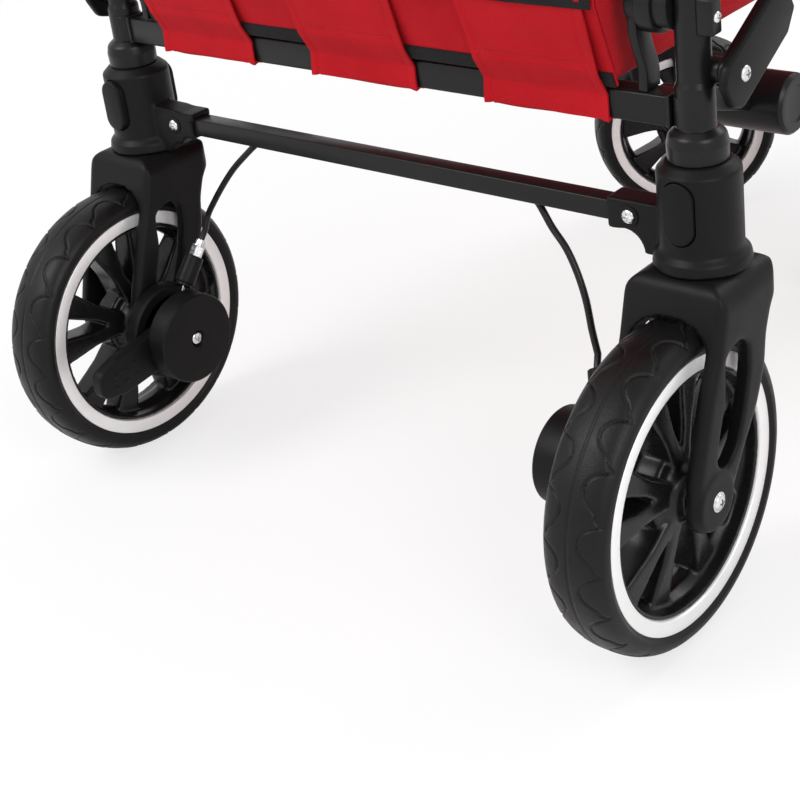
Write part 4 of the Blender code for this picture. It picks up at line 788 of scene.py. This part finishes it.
def buildBrakes():
    _, axleY, axleZ = wagon["rearAxle"]
    place = Matrix.Translation((0, axleY, axleZ))
    level, lean = (brake["armIn"] + brake["armOut"]) / 2, brake["rightLean"]
    drumIn, drumR, barrelR, hexR = brake["drumIn"], brake["drumR"], brake["barrelR"], brake["hexR"]
    deep, middle = brake["coverOut"] - brake["coverIn"], (0, 0)
    for side, word in bothSides:
        shapes = [sideRod(side, drumIn, brake["drumOut"], middle, drumR, 0.0022, 72),
                  sideRod(side, drumIn + 0.004, drumIn, middle, drumR * 0.8, 0.001, 64)]
        if side > 0:
            shapes.append(rod((level, *cableEnd(0.0005)), (level - lean, *cableEnd(0.026)), barrelR * 0.8, 0.001))
            shapes.append(block((level, 0.012, 0.03), (drumIn + 0.003, 0.026, 0.044), 0.001))
        piece(f"brakeDrum_{word}", shapes, "plastic", "rear_frame", f"brake_drum_{word}", place=place)
        # the cover has a shallow step, a rounded rim and a well round its screw
        r = brake["coverR"][word]
        face = [(0.0068, 0), (0.0068, deep - 0.003, 0.0004), (0.0085, deep - 0.0002, 0.0006),
                (r - 0.0016, deep - 0.0009, 0.0014), (r, deep - 0.0028, 0.0008), (r, 0)]
        turn = Matrix.Translation((side * brake["coverOut"], 0, 0)) @ Matrix.Rotation(-side * pi / 2, 4, "Y")
        piece(f"brakeCover_{word}", [shifted(turned(face, 88), turn)], "plastic", "rear_frame", f"brake_cover_{word}",
              place=place)
        # lever or arm between the two
        low, high = sorted((side * brake["armIn"], side * brake["armOut"]))
        hub = rod((low, 0, 0), (high, 0, 0), brake["armHubR"], 0.001, 48)
        low, high = low + 0.0005, high - 0.0005
        if side < 0:
            arm = roundPath([
                (0, 0.025, 0.004), (-0.038, 0.015, 0.02), (-0.079, 0.0105, 0.01), (-0.1015, 0.003, 0.01),
                (-0.1015, -0.0225, 0.012), (-0.074, -0.0265, 0.01), (-0.033, -0.0225, 0.02), (0, -0.027, 0.004)
            ], True, 5)
            shapes = [hub, slab(arm, low, high, sideView, 0.0022, 3)]
            for i in range(3):
                for j in range(2):
                    spot = (-0.06 - 0.012 * i, -0.001 - 0.0115 * j - 0.002 * i)
                    shapes.append(dome((high - 0.0007, *spot), (high + 0.0011, *spot), 0.0021, 0.0011, 12))
            piece("brakePedal", shapes, "plastic", "brake_pedal_left", "brake_pedal", place=place)
        else:
            arm = slab(stadium(middle, (0.013 - drumR, 0), 0.011), low, high, sideView, 0.0015)
            piece("brakeArm", [hub, arm], "plastic", "brake_arm_right", "brake_arm", place=place)
        # axle: its inner screw shows in the cover's well, its outer one on the fork
        inner, outer, screwR = side * (brake["coverIn"] + 0.0034), side * brake["forkFace"], brake["screwR"]
        shapes = [rod((inner, 0, 0), (outer, 0, 0), brake["axleR"], 0, 24),
                  screwHead((inner + side * 0.001, 0, 0), (inner - side * 0.003, 0, 0), screwR, 0.0026, 0.5),
                  screwHead((outer, 0, 0), (outer + side * 0.0038, 0, 0), screwR, 0.0026, 0.5),
                  rod((outer - side * 0.0004, 0, 0), (outer + side * 0.0012, 0, 0), 0.0078, 0.0004)]
        piece(f"rearAxle_{word}", shapes, "zinc", "rear_frame", f"rear_axle_{word}", place=place)
        if side < 0:
            foot, way = Vector((-level, *cableEnd(0))), Vector((0, *brake["cableWay"]))

            def onWay(start, end, radius, bevel, steps, tip=None):
                return rod(foot + way * start, foot + way * end, radius, bevel, steps, tip)

            shapes = [onWay(0.0032, 0.03, barrelR, 0.0012, 40, barrelR * 0.95),
                      onWay(0.0005, 0.0045, barrelR * 0.78, 0.0004, 32)]
            piece("cableBarrel", shapes, "plastic", "rear_frame", "cable_barrel", place=place)
            shapes = [onWay(0.0295, 0.04, hexR, 0.0004, 6), onWay(0.0395, 0.0465, hexR * 0.72, 0.0005, 24),
                      onWay(0.0398, 0.0412, hexR * 0.98, 0.0004, 24)]
            piece("cableAdjuster", shapes, "zinc", "rear_frame", place=place)
            loop = [foot + Vector((0, -0.004, -0.016)), foot + Vector((0, -0.0035, -0.008)), foot + way * 0.001]
            piece("cableWire", [pipe(smoothLine(loop, 5), 0.0011, 3)], "zinc", "rear_frame", place=place)
    # the cable's route, from the left arm through the crossbar to the right one
    barY, barZ = rearY - axleY, wagon["barZ"] - axleZ
    route = [
        (-level, *cableEnd(0.0465)), (-level, *cableEnd(0.057)), (-0.2285, 0.058, 0.0965), (-0.2196, 0.0589, 0.1093),
        (-0.2043, 0.0602, 0.1284), (-0.1882, 0.0615, 0.1463), (-0.1719, 0.0627, 0.1611), (-0.149, barY, barZ - 0.0065),
        (-0.129, barY, barZ), (0.134, barY, barZ), (0.152, barY, barZ - 0.0065), (0.1691, 0.0604, 0.1589),
        (0.1835, 0.0568, 0.1456), (0.1947, 0.0532, 0.1292), (0.2037, 0.0496, 0.1089), (0.2098, 0.046, 0.0862),
        (level - lean - 0.004, *cableEnd(0.0383)), (level - lean, *cableEnd(0.0266))]
    path = [Vector(route[0]), *smoothLine(route[1:-1], 8), Vector(route[-1])]
    cable = [pipe(path, brake["cableR"], 6)]
    piece("brakeCable", cable, "cableSkin", "rear_frame", "brake_cable", place=place, sharp=60)
    print("brakes built")


buildBrakes()

# posts, rails and the hubs below the floor
post = {"r": 0.0125, "bore": 0.0108, "top": 0.868, "castR": 0.0142, "castTop": 0.417, "neckR": 0.0222, "neckH": 0.0231,
        "bossR": 0.0094, "linkHalf": 0.0045, "knuckleZ": 0.473, "hubAhead": 0.14, "hubZ": 0.353, "hubArmX": 0.268,
        "upperR": 0.011}


def boss(side, start, plane, spot):
    # from the post or collar to the link that turns on it
    return sideRod(side, postX + start, plane - post["linkHalf"] - 0.0003, spot, post["bossR"], 0.0008)


def postShapes(side, y, low, pivotY, plane):
    # the post with its casting and neck, and the boss that carries the scissor's pivot
    neck, r, castR, neckR = wagon["neckZ"], post["r"], post["castR"], post["neckR"]
    high, top, castTop = neck + post["neckH"], post["top"], post["castTop"]
    profile = [
        (r, top, 0.0006), (r, castTop + 0.003, 0.001), (castR, castTop - 0.001, 0.0015), (castR, high + 0.0002, 0.0006),
        (castR + 0.0012, high, 0.0006), (neckR - 0.0016, high - 0.0042, 0.006), (neckR, high - 0.0115, 0.004),
        (neckR - 0.0004, neck + 0.0002, 0.0006), (r, neck), (r, low), (post["bore"], low), (post["bore"], top)]
    return [turned(profile, 56, Matrix.Translation((side * postX, y, 0))),
            boss(side, 0.009, plane, (pivotY, wagon["linkLow"]))]


def pinHead(side, start, face, y, z):
    way = 1 if face > start else -1
    return [sideRod(side, start, face + way * 0.001, (y, z), 0.004, 0, 20),
            rivet(side, face + way * 0.0002, face + way * 0.0031, y, z)]


def rivet(side, near, far, y, z):
    return dome((side * near, y, z), (side * far, y, z), 0.0064, 0.0022)


def postPin(side, plane, y, z):
    return pinHead(side, plane - post["linkHalf"] - 0.003, plane + post["linkHalf"], y, z)


def railShapes(y):
    end = postX - post["castR"] - 0.0003
    shapes = [block((0.001 - end, y - railHalf, railLow), (end - 0.001, y + railHalf, railHigh), 0.0018)]
    for side in (-1, 1):
        shapes.append(block((side * end, y - railHalf - 0.0015, railLow),
                            (side * (end - 0.0032), y + railHalf + 0.0015, railHigh + 0.0012), 0.0008))
        x = side * (end + 0.0125)
        shapes.append(rod((x, y, railLow + 0.0004), (x, y, railHigh + 0.001), 0.0138, 0.0008))
    return shapes


def upperRail(name, body, y, node):
    reach, z = postX - post["r"] - 0.0003, wagon["upperRailZ"]
    piece(name, [rod((-reach, y, z), (reach, y, z), post["upperR"], 0, 40)], "coat", body, node)


def buildRearFrame():
    rivets = []
    low, plane, pivotY, z = wagon["linkLow"], wagon["planeA"], wagon["rearPivotY"], post["knuckleZ"]
    hubY, hubZ, armX = rearY + post["hubAhead"], post["hubZ"], post["hubArmX"]
    # the curved arm from each knuckle down to the rail, and the hub's profile
    bow = smoothLine([(rearY - 0.008, 0.472), (rearY - 0.0085, 0.455), (rearY - 0.004, 0.438), (rearY + 0.001, 0.424),
                      (rearY + 0.001, 0.4085)], 5)
    arm = [(p.x - 0.0085, p.y) for p in bow] + [(p.x + 0.009, p.y) for p in reversed(bow)]
    hub = [(0, 0), (0.0215, 0, 0.001), (0.024, 0.0025, 0.0015), (0.024, 0.061, 0.002), (0.0215, 0.064, 0.001),
           (0.015, 0.064, 0.0004), (0.014, 0.0628, 0.0004), (0, 0.0628)]
    for side, word in bothSides:
        def inward(reach):
            return side * (postX - reach)

        def spot(x, y, z):
            return side * x, rearY + y, z

        shapes = postShapes(side, rearY, 0.2997, pivotY, plane)
        # the hinge plates and the turned knuckles above the rail
        shapes += [
            block((inward(0.04), rearY - 0.0075, 0.4555), (inward(0.009), rearY + 0.0075, 0.4995), 0.0016),
            rod((inward(0.043), rearY, z), (inward(0.009), rearY, z), 0.019, 0.002, 48),
            rod((inward(0.033), rearY, z), (inward(0.02), rearY, z), 0.0222, 0.0012, 48),
            slab(arm, inward(0.0415), inward(0.034), sideView, 0.0012),
            block((inward(-0.009), rearY - 0.01, 0.4545), (side * 0.3216, rearY + 0.0028, 0.48), 0.0016)]
        piece(f"rearPost_{word}", shapes, "coat", "rear_frame", f"rear_post_{word}")
        rivets += postPin(side, plane, pivotY, low)
        rivets += [screwHead(spot(0.3205, -0.0035, 0.4665), spot(0.3238, -0.0035, 0.4665), 0.0042, 0.0018),
                   screwHead(spot(0.275, -0.015, 0.489), spot(0.275, -0.0185, 0.489), 0.004, 0.0018)]
        turn = Matrix.Translation((side * 0.236, hubY, hubZ)) @ Matrix.Rotation(side * pi / 2, 4, "Y")
        near, far = side * (armX - 0.006), side * (armX + 0.006)
        shapes = [shifted(turned(hub, 56, closed=False), turn),
                  slab(stadium((rearY + 0.016, 0.3967), (hubY, hubZ), 0.0085), near, far, sideView, 0.0012),
                  block((near, rearY + 0.009, 0.3874), (far, rearY + 0.0205, 0.406), 0.0008)]
        piece(f"underfloorHub_{word}", shapes, "coat", "rear_frame")
    piece("rearLowerRail", railShapes(rearY), "coat", "rear_frame", "rear_lower_rail", sharp=60)
    upperRail("rearUpperRail", "rear_frame", rearY, "rear_upper_rail")
    piece("rearRivets", rivets, "zinc", "rear_frame")
    print("rear frame built")


buildRearFrame()


def buildFrontFrame():
    rivets = []
    plane, pivotY, casterY = wagon["planeB"], wagon["frontPivotY"], wagon["casterY"]
    for side, word in bothSides:
        shapes = postShapes(side, frontY, wagon["neckZ"] - 0.0001, pivotY, plane)
        x, top = side * postX, post["top"]
        cap = (x, frontY, top - 0.004), (x, frontY, top + 0.006)
        shapes.append(rod(*cap, post["r"] + 0.002, 0.002, 40, post["r"] - 0.003))
        piece(f"frontPost_{word}", shapes, "coat", "front_frame", f"front_post_{word}")
        rivets += postPin(side, plane, pivotY, wagon["linkLow"])
    shapes = railShapes(frontY)
    low = wagon["frontAxleZ"] + wheels["front"]["tyreR"] + fork["clear"] + fork["crownH"] + 0.0003
    pullY, start = wagon["pullY"], frontY + 0.009
    ear = roundPath([
        (start, railLow), (pullY - 0.012, railLow, 0.01), *arc((pullY, wagon["pullZ"]), 0.0175, -100, 100, 12),
        (pullY - 0.012, railHigh, 0.01), (start, railHigh)])
    for side in (-1, 1):
        x = side * wagon["casterX"]
        shapes += [rod((x, casterY, low), (x, casterY, railHigh - 0.0005), 0.021, 0.0025, 48),
                   rod((x, casterY, low), (x, casterY, low + 0.01), 0.0225, 0.001, 48),
                   block((x - 0.012, casterY, railLow + 0.002), (x + 0.012, frontY - 0.009, railHigh - 0.002), 0.0016),
                   slab(ear, side * 0.0143, side * 0.0193, sideView, 0.0008)]
    piece("frontChassis", shapes, "coat", "front_frame", "front_chassis", sharp=60)
    upperRail("frontUpperRail", "front_frame", frontY, "front_upper_rail")
    piece("frontRivets", rivets, "zinc", "front_frame")
    print("front frame built")


buildFrontFrame()

# scissor sides: flat links, bright pivots, sliding collars
linkage = {"high": 0.022, "thick": 0.009, "edge": 0.0014, "hole": 0.0046, "collarR": 0.0185, "collarHalf": 0.018,
           "collarBore": 0.0128}


def buildLink(side, word, name, part, start, end, plane, pins, holes):
    half = linkage["thick"] / 2
    bar = slab(stadium(start, end, linkage["high"] / 2, 18), side * (plane - half), side * (plane + half), sideView,
               linkage["edge"], 3)
    cuts = [sideRod(side, plane - 0.02, plane + 0.02, hole, linkage["hole"], 0, 24) for hole in holes]
    obj = carved(asObject(f"{name}_{word}", bar), cuts, sharp=42)
    fit(obj, "coat", f"links_{part}", f"link_{part}_{word}")
    other = wagon["planeB"] if plane == wagon["planeA"] else wagon["planeA"]
    way = 1 if other > plane else -1
    rivets = []
    for y, z in pins:
        rivets += pinHead(side, plane + way * half * 0.6, other + way * half, y, z)
        if way < 0:
            rivets.append(rivet(side, plane + half - 0.0002, plane + half + 0.0029, y, z))
    return rivets


def linkBracket(side, start, end, plane):
    # a cap over the link's foot, wider than the link, open towards the post
    half = linkage["thick"] / 2
    way = (Vector(end) - Vector(start)).normalized()
    corners = [(-0.0235, -0.0105, 0.009), (-0.0135, -0.0205, 0.009), (0.058, -0.0205, 0.004), (0.0745, -0.011, 0.004),
               (0.0745, 0.011, 0.004), (0.058, 0.0185, 0.006), (-0.0135, 0.0185, 0.009), (-0.0235, 0.0105, 0.009)]
    outline = roundPath([(*(Vector(start) + way * u + Vector((-way.y, way.x)) * v), r) for u, v, r in corners], True, 5)
    return slab(outline, side * (plane + half - 0.0005), side * (plane + half + 0.0065), sideView, 0.0022, 3)


def buildScissors():
    rear, front, mid = wagon["rearPivotY"], wagon["frontPivotY"], wagon["midY"]
    low, top, cross = wagon["linkLow"], wagon["linkTop"], wagon["linkMid"]
    crossRear, crossFront = ((rear + mid) / 2, cross), ((front + mid) / 2, cross)
    planeA, planeB = wagon["planeA"], wagon["planeB"]
    # name, part, both ends, plane, the pins that the link carries and the holes in it
    links = [
        ("linkARear", "a_rear", (rear, low), (mid, top), planeA, [crossRear, (mid, top)], [(rear, low)]),
        ("linkBRear", "b_rear", (rear, top), (mid, low), planeB, [(mid, low)], [(rear, top), crossRear]),
        ("linkBFront", "b_front", (mid, top), (front, low), planeB, [crossFront], [(mid, top), (front, low)]),
        ("linkAFront", "a_front", (mid, low), (front, top), planeA, [], [(mid, low), crossFront, (front, top)])]
    r, half, bore = linkage["collarR"], linkage["collarHalf"], linkage["collarBore"]
    collar = [(r, half, 0.003), (r, -half, 0.003), (bore, -half), (bore, half)]
    band = [(r + 0.001, 0.0125, 0.001), (r + 0.001, 0.0085, 0.001), (0.018, 0.0085), (0.018, 0.0125)]
    rivets = {f"links_{link[1]}": [] for link in links}
    rivets.update(collars_rear=[], collars_front=[])
    for side, word in bothSides:
        for link in links:
            rivets[f"links_{link[1]}"] += buildLink(side, word, *link)
        piece(f"linkFoot_{word}", [linkBracket(side, (rear, low), (mid, top), planeA)], "plastic", "links_a_rear")
        face = planeA + linkage["thick"] / 2 + 0.0065
        rivets["links_a_rear"].append(
            screwHead((side * (face - 0.0005), rear, low), (side * (face + 0.003), rear, low), 0.0058, 0.0024, 0.5))
        for end, postY, pivotY, plane in (("rear", rearY, rear, planeB), ("front", frontY, front, planeA)):
            place = Matrix.Translation((side * postX, postY, top))
            shapes = [turned(collar, 48, place), turned(band, 48, place, corner=3),
                      turned(band, 48, place @ Matrix.Translation((0, 0, -0.021)), corner=3),
                      boss(side, 0.0137, plane, (pivotY, top))]
            piece(f"{end}Collar_{word}", shapes, "plastic", f"collars_{end}", f"collar_{end}_{word}")
            rivets[f"collars_{end}"] += postPin(side, plane, pivotY, top)
    for body, shapes in rivets.items():
        if shapes:
            piece(f"rivets_{body}", shapes, "zinc", body)
    print("scissor sides built")


buildScissors()

# push handle with its hubs and foam grip
handle = {"lean": radians(25), "long": 0.18, "r": 0.011, "bend": 0.045, "x": 0.2729, "gripR": 0.0165, "gripHalf": 0.2,
          "hubR": 0.025, "discR": 0.022}


def buildPushHandle():
    y, z, x, long, r = rearY, wagon["handleZ"], handle["x"], handle["long"], handle["r"]
    lean = Vector((0, -sin(handle["lean"]), cos(handle["lean"])))
    foot = Vector((0, y, z))
    flat = roundPath([(-x, 0), (-x, long, handle["bend"]), (x, long, handle["bend"]), (x, 0)], False, 14)
    shapes = [pipe([foot + Vector((u, 0, 0)) + lean * v for u, v in flat], r, 8)]
    for side in (-1, 1):
        shapes += [sideRod(side, 0.2616, 0.2842, (y, z), handle["discR"], 0.0018, 48),
                   sideRod(side, 0.2606, 0.262, (y, z), 0.015, 0.0005, 40)]
    piece("pushBar", shapes, "coat", "push_handle", "push_bar", sharp=50)
    half, bore, r = handle["gripHalf"], r + 0.0003, handle["gripR"]
    grip = [(bore, -half), (r - 0.001, -half, 0.0015), (r, 0.004 - half, 0.002), (r - 0.0006, 0.0065 - half, 0.001),
            (r, 0.009 - half, 0.002)]
    piece("pushGrip", [turned(mirrored(grip), 56, across)], "foam", "push_handle", "push_grip",
          place=Matrix.Translation(foot + lean * long))
    caps = []
    for side, word in bothSides:
        x = side * postX
        shapes = [sideRod(side, 0.285, 0.318, (y, z), handle["hubR"], 0.0025, 56),
                  rod((x, y, 0.852), (x, y, z), 0.015, 0.0012, 40),
                  rod((x, y, 0.852), (x, y, 0.858), 0.016, 0.0012, 40),
                  sideRod(side, 0.283, 0.2607, (y, z), 0.0069, 0.0006)]
        piece(f"handleHub_{word}", shapes, "plastic", "rear_frame", f"handle_hub_{word}")
        caps.append(sideRod(side, 0.2608, 0.2588, (y, z), 0.006, 0.0006, 6))
    piece("handlePins", caps, "zinc", "rear_frame")
    print("push handle built")


buildPushHandle()

# pull handle: its tube, the inner tube that slides in it, and the grip
pull = {"r": 0.0125, "long": 0.43, "bore": 0.0098, "sleeveR": 0.0142, "bossR": 0.016, "innerR": 0.0095, "gripZ": 0.485,
        "gripHalf": 0.065}


def buildPullHandle():
    # the handle leans back a little at rest
    place = Matrix.Translation((0, wagon["pullY"], wagon["pullZ"])) @ Matrix.Rotation(wagon["pullLean"], 4, "X")
    r, long, bore, sleeveR, innerR = (pull[key] for key in ("r", "long", "bore", "sleeveR", "innerR"))
    tube = [(0, 0), (r, 0), (r, long, 0.0008), (bore, long, 0.0004), (bore, long - 0.02), (0, long - 0.02)]
    end = [(r, 0.395, 0.0006), (sleeveR, 0.398, 0.001), (sleeveR, 0.429, 0.0012),
           (0.0122, 0.4298, 0.0004), (0.0122, 0.395)]
    shapes = [rod((-0.014, 0, 0), (0.014, 0, 0), pull["bossR"], 0.0012, 48), turned(tube, 48, closed=False, corner=3),
              turned(end, 48, corner=3)]
    piece("pullTube", shapes, "coat", "pull_handle", "pull_tube", place=place)
    pins = [dome((way * 0.0192, 0, 0), (way * 0.0223, 0, 0), 0.0068, 0.0022) for way in (-1, 1)]
    pins.append(rod((-0.0195, 0, 0), (0.0195, 0, 0), 0.004, 0, 24))
    piece("pullPin", pins, "zinc", "pull_handle", place=place)
    inner = [(innerR, 0.4549, 0.0004), (innerR, 0.0605, 0.0004), (0.008, 0.0605), (0.008, 0.4549)]
    piece("pullInner", [turned(inner, 40, corner=3)], "alloy", "pull_extension", "pull_inner", place=place)
    barZ, half = pull["gripZ"], pull["gripHalf"]
    neck = [(0, 0.4345), (0.0098, 0.4345), (0.0138, 0.433, 0.001), (0.0138, 0.46, 0.01),
            (0.017, barZ, 0.004), (0, barZ)]
    bar = [(0, -half), (0.0105, -half, 0.003), (0.014, 0.006 - half, 0.004), (0.0128, 0.02 - half, 0.01),
           (0.014, 0, 0.03), (0.0128, half - 0.02, 0.01), (0.014, half - 0.006, 0.004), (0.0105, half, 0.003),
           (0, half)]
    grip = shifted(turned(bar, 48, across, False, 5), Matrix.Translation((0, 0, barZ)))
    obj = asObject("pullGrip", merged([turned(neck, 48, closed=False, corner=5), grip]))
    moulded(obj, 0.0011, 4, 0.6).data.transform(place)
    fit(obj, "plastic", "pull_extension", "pull_grip")
    print("pull handle built")


buildPullHandle()

# cloth
# gapShadeHigh is the height of the painted shade strip at each panel's foot
cloth = {"half": 0.245, "floor": 0.4105, "top": 0.7, "hemZ": 0.478, "lean": 0.0235, "strapW": 0.114, "strapX": 0.1795,
         "thick": 0.0016, "foldTravel": 0.3771, "corner": 0.026, "gapShadeHigh": 0.0115, "bindingHigh": 0.015,
         "tapeWide": 0.022, "inset": 0.0072, "seam": 0.066, "stitch": 0.0042, "stitchHalf": 0.0013, "threadR": 0.00034}


def wrinkle(point, scale, seed):
    return noise.noise(Vector(point) * scale + Vector((seed, seed * 1.7, seed * 0.3)))


def clothGrid(name, columns, rows, where, thick):
    # a grid of cloth whose points come from its own (u, v) in metres, kept as its map
    bm = bmesh.new()
    bmesh.ops.create_grid(bm, x_segments=columns, y_segments=rows, size=0.5)
    layer = bm.loops.layers.uv.new("cloth")
    placed = {v: where(v.co.x + 0.5, v.co.y + 0.5) for v in bm.verts}
    for face in bm.faces:
        for loop in face.loops:
            loop[layer].uv = placed[loop.vert][1]
    for v, (place, _) in placed.items():
        v.co = place
    bm.normal_update()
    obj = asObject(name, bm, 60)
    wall = obj.modifiers.new("thickness", "SOLIDIFY")
    wall.thickness = thick
    wall.offset = 0
    wall.use_even_offset = True
    return baked(obj, 60)


def along(path, share):
    # the place, the direction and the whole length at a share of a path
    runs = [0.0]
    for a, b in zip(path, path[1:]):
        runs.append(runs[-1] + (b - a).length)
    mark = share * runs[-1]
    for i in range(len(path) - 1):
        if mark <= runs[i + 1] or i == len(path) - 2:
            t = (mark - runs[i]) / max(runs[i + 1] - runs[i], 1e-9)
            way = (path[i + 1] - path[i]).normalized()
            return path[i].lerp(path[i + 1], min(max(t, 0), 1)), way, runs[-1]


def leanAt(z):
    return cloth["lean"] * min(1, max(0, (z - cloth["floor"]) / (cloth["hemZ"] - cloth["floor"])))


def foldOver(v, r):
    # a tape folded over the top edge: aside and height
    angle = radians(-80 + 340 * v)
    return r * cos(angle), cloth["top"] - 0.0035 + (r + 0.0012) * sin(angle)


def buildStrap(name, body, postY, way, x0, seed, node):
    wide, inset, hemZ = cloth["strapW"], cloth["inset"], cloth["hemZ"]
    lip, under = postY + way * (railHalf + 0.0011), railLow - 0.0012
    head = postY + way * (railHalf + cloth["lean"] + 0.0055)
    path = roundPath([(postY - way * 0.0085, under), (lip, under, 0.0016), (lip, railHigh - 0.004, 0.006),
                      (postY + way * 0.0212, railHigh + 0.014, 0.03), (head, hemZ + 0.004, 0.02),
                      (head + way * 0.0003, hemZ + 0.0105)], False, 6)
    long = along(path, 0)[2]

    def where(u, v):
        place, ahead, _ = along(path, v)
        out = Vector((ahead.y, -ahead.x)) * (1 if way < 0 else -1)
        if out.x * way < 0 and abs(ahead.y) > 0.3:
            out = -out
        edge = abs(u - 0.5) * 2
        x = x0 + (u - 0.5) * (wide - 0.003 * sin(pi * min(v * 1.15, 1)) + 0.0022 * max(0, 1 - v * 5))
        lift = 0.0007 * wrinkle((x, v * 0.3, 0), 26, seed) * min(1, v * 6)
        hem = exp(-((edge * wide / 2 - (wide / 2 - inset)) / 0.0012) ** 2)
        band = exp(-((v * long - cloth["seam"]) / 0.0013) ** 2)
        lift += -0.0009 * max(hem, band * (edge < 0.88)) + 0.0005 * (edge * wide / 2 > wide / 2 - inset + 0.0005)
        lift += 0.0012 * (edge ** 6) * max(0, 1 - abs(v - 0.16) * 7)
        if v < 0.12:
            lift = max(0.0, min(lift, 0.0003))
        spot = place + out * lift
        return Vector((x, spot.x, spot.y)), ((u - 0.5) * wide, v * long)

    obj = fit(clothGrid(name, 56, 64, where, cloth["thick"]), "redCloth", body, node)
    # short threads along both hems and across the seam
    count, over = int(long * 0.86 / cloth["stitch"]), int(wide * 0.92 / cloth["stitch"])
    marks = [(0.5 + side * (0.5 - inset / wide), 0.13 + 0.86 * (i + 0.5) / count, 0, cloth["stitchHalf"] / long)
             for side in (-1, 1) for i in range(count)]
    marks += [(0.04 + 0.92 * (i + 0.5) / over, cloth["seam"] / long, cloth["stitchHalf"] / wide, 0)
              for i in range(over)]
    out = Vector((0, way, 0.25)).normalized() * (cloth["thick"] / 2 + 0.0001)
    seams = [rod(where(u - du, v - dv)[0] + out, where(u + du, v + dv)[0] + out, cloth["threadR"], 0, 6)
             for u, v, du, dv in marks]
    piece(name + "Thread", seams, "redThread", body, sharp=80)


def buildEnd(name, body, postY, way, straps, node):
    wide, high, tapeWide = 2 * cloth["half"], cloth["gapShadeHigh"], cloth["tapeWide"]
    foot = postY + way * (railHalf + 0.0014)
    head = foot + way * cloth["lean"]
    path = roundPath([(foot, cloth["floor"] + 0.001), (head, cloth["hemZ"], 0.02), (head, cloth["top"])], False, 6)
    long = along(path, 0)[2]

    def wall(u, v):
        place, x = along(path, v)[0], (u - 0.5) * (wide - 0.001)
        ripple = 0.0011 * wrinkle((x, v * 0.4, 1.0), 9, 3.1) + 0.0006 * wrinkle((x, v * 0.4, 2.0), 28, 7.7)
        calm = min(1, v * 8) * min(1, (1 - v) * 10) * min(1, (0.5 - abs(u - 0.5)) * 14)
        return Vector((x, place.x + way * ripple * calm, place.y)), (x, v * long)

    # painted shade: a dark strip at the panel's foot that stands for the shade in the gap above the rail
    def gapShade(u, v):
        x, z = (u - 0.5) * (wide - 0.002), cloth["floor"] + 0.0004 + high * v
        y = foot + way * (leanAt(z - 0.0004) + 0.0017 + 0.0004 * sin(pi * v))
        return Vector((x, y, z)), (x, high * v)

    def hem(u, v):
        x = (u - 0.5) * (wide - 0.001)
        z = cloth["hemZ"] - 0.0035 + cloth["bindingHigh"] * v + 0.0006 * wrinkle((x, 0, 0), 20, 5.5)
        return Vector((x, head + way * (0.0036 + 0.0007 * sin(pi * v)), z)), (x, cloth["bindingHigh"] * v)

    def cap(u, v):
        x, (aside, z) = (u - 0.5) * (wide + 0.002), foldOver(v, 0.003)
        return Vector((x, head + aside, z)), (x, tapeWide * v)

    obj = fit(clothGrid(name, 90, 56, wall, 0.0022), "redCloth", body, node)
    # black web above the straps and over the top edge, and a black web strip at the foot that is painted shade in the
    # gap above the rail
    tape = fit(clothGrid(name + "GapShade", 60, 5, gapShade, 0.0012), "blackWeb", body)
    binding = fit(clothGrid(name + "Binding", 90, 6, hem, 0.0016), "blackWeb", body, node)
    topTape = fit(clothGrid(name + "TopTape", 60, 14, cap, 0.001), "blackWeb", body)
    for i, x0 in enumerate(straps):
        buildStrap(f"{name}Strap{i + 1}", body, postY, way, x0, 11 + 3.7 * i + way, node)


def shrinkWithFold(obj):
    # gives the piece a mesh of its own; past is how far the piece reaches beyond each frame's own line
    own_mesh(obj)


def buildTub():
    # floor and sides in one cloth, as a trough open at both ends
    half, low, top = cloth["half"] - 0.0018, cloth["floor"] + 0.0018, cloth["top"]
    path = roundPath([(-half, top), (-half, low, 0.012), (half, low, 0.012), (half, top)], False, 8)
    long = along(path, 0)[2]

    def where(u, v):
        place, ahead, _ = along(path, u)
        past = railHalf + leanAt(place.y) - 0.0008
        y = rearY - past + (frontY - rearY + 2 * past) * v
        calm = min(1, v * 10) * min(1, (1 - v) * 10) * min(1, u * 14) * min(1, (1 - u) * 14)
        ripple = 0.0013 * wrinkle((u * 1.1, y, 0), 7, 1.3) + 0.0006 * wrinkle((u * 1.1, y, 0), 24, 9.1)
        spot = place + Vector((ahead.y, -ahead.x)) * ripple * calm
        if abs(place.x) < half - 0.01:
            spot.y -= 0.0012 * sin(pi * v) * calm
        return Vector((spot.x, y, spot.y)), (u * long, y)

    obj = fit(clothGrid("tubCloth", 130, 90, where, 0.0026), "redCloth", "rear_frame", "tub")
    shrinkWithFold(obj)
    past = railHalf + cloth["lean"] - 0.001
    bottom, high = cloth["floor"] + 0.006, top - cloth["floor"] - 0.009
    for side, word in bothSides:
        def cap(u, v):
            aside, z = foldOver(v, 0.0031)
            y = rearY - past + (frontY - rearY + 2 * past) * u
            return Vector((side * half + aside, y, z)), (y, cloth["tapeWide"] * v)

        tape = fit(clothGrid(f"tubTape_{word}", 60, 14, cap, 0.001), "blackWeb", "rear_frame")
        shrinkWithFold(tape)
        # seam allowance inside each corner, carried by the frame at its end
        for end, frameY, way in (("rear", rearY, -1), ("front", frontY, 1)):
            def allowance(u, v):
                z = bottom + high * v
                y = frameY + way * (railHalf + leanAt(z) - 0.0008 - cloth["corner"] * u)
                return Vector((side * (half - 0.0032), y, z)), (cloth["corner"] * u, z)

            corner = fit(clothGrid(f"tubCorner_{end}_{word}", 6, 40, allowance, 0.0014), "redCloth", f"{end}_frame")


strapX = cloth["strapX"]
buildEnd("rearPanel", "rear_frame", rearY, -1, (-strapX, 0.0, strapX), "rear_panel")
buildEnd("frontPanel", "front_frame", frontY, 1, (-strapX, strapX), "front_panel")
buildTub()
print("cloth built")
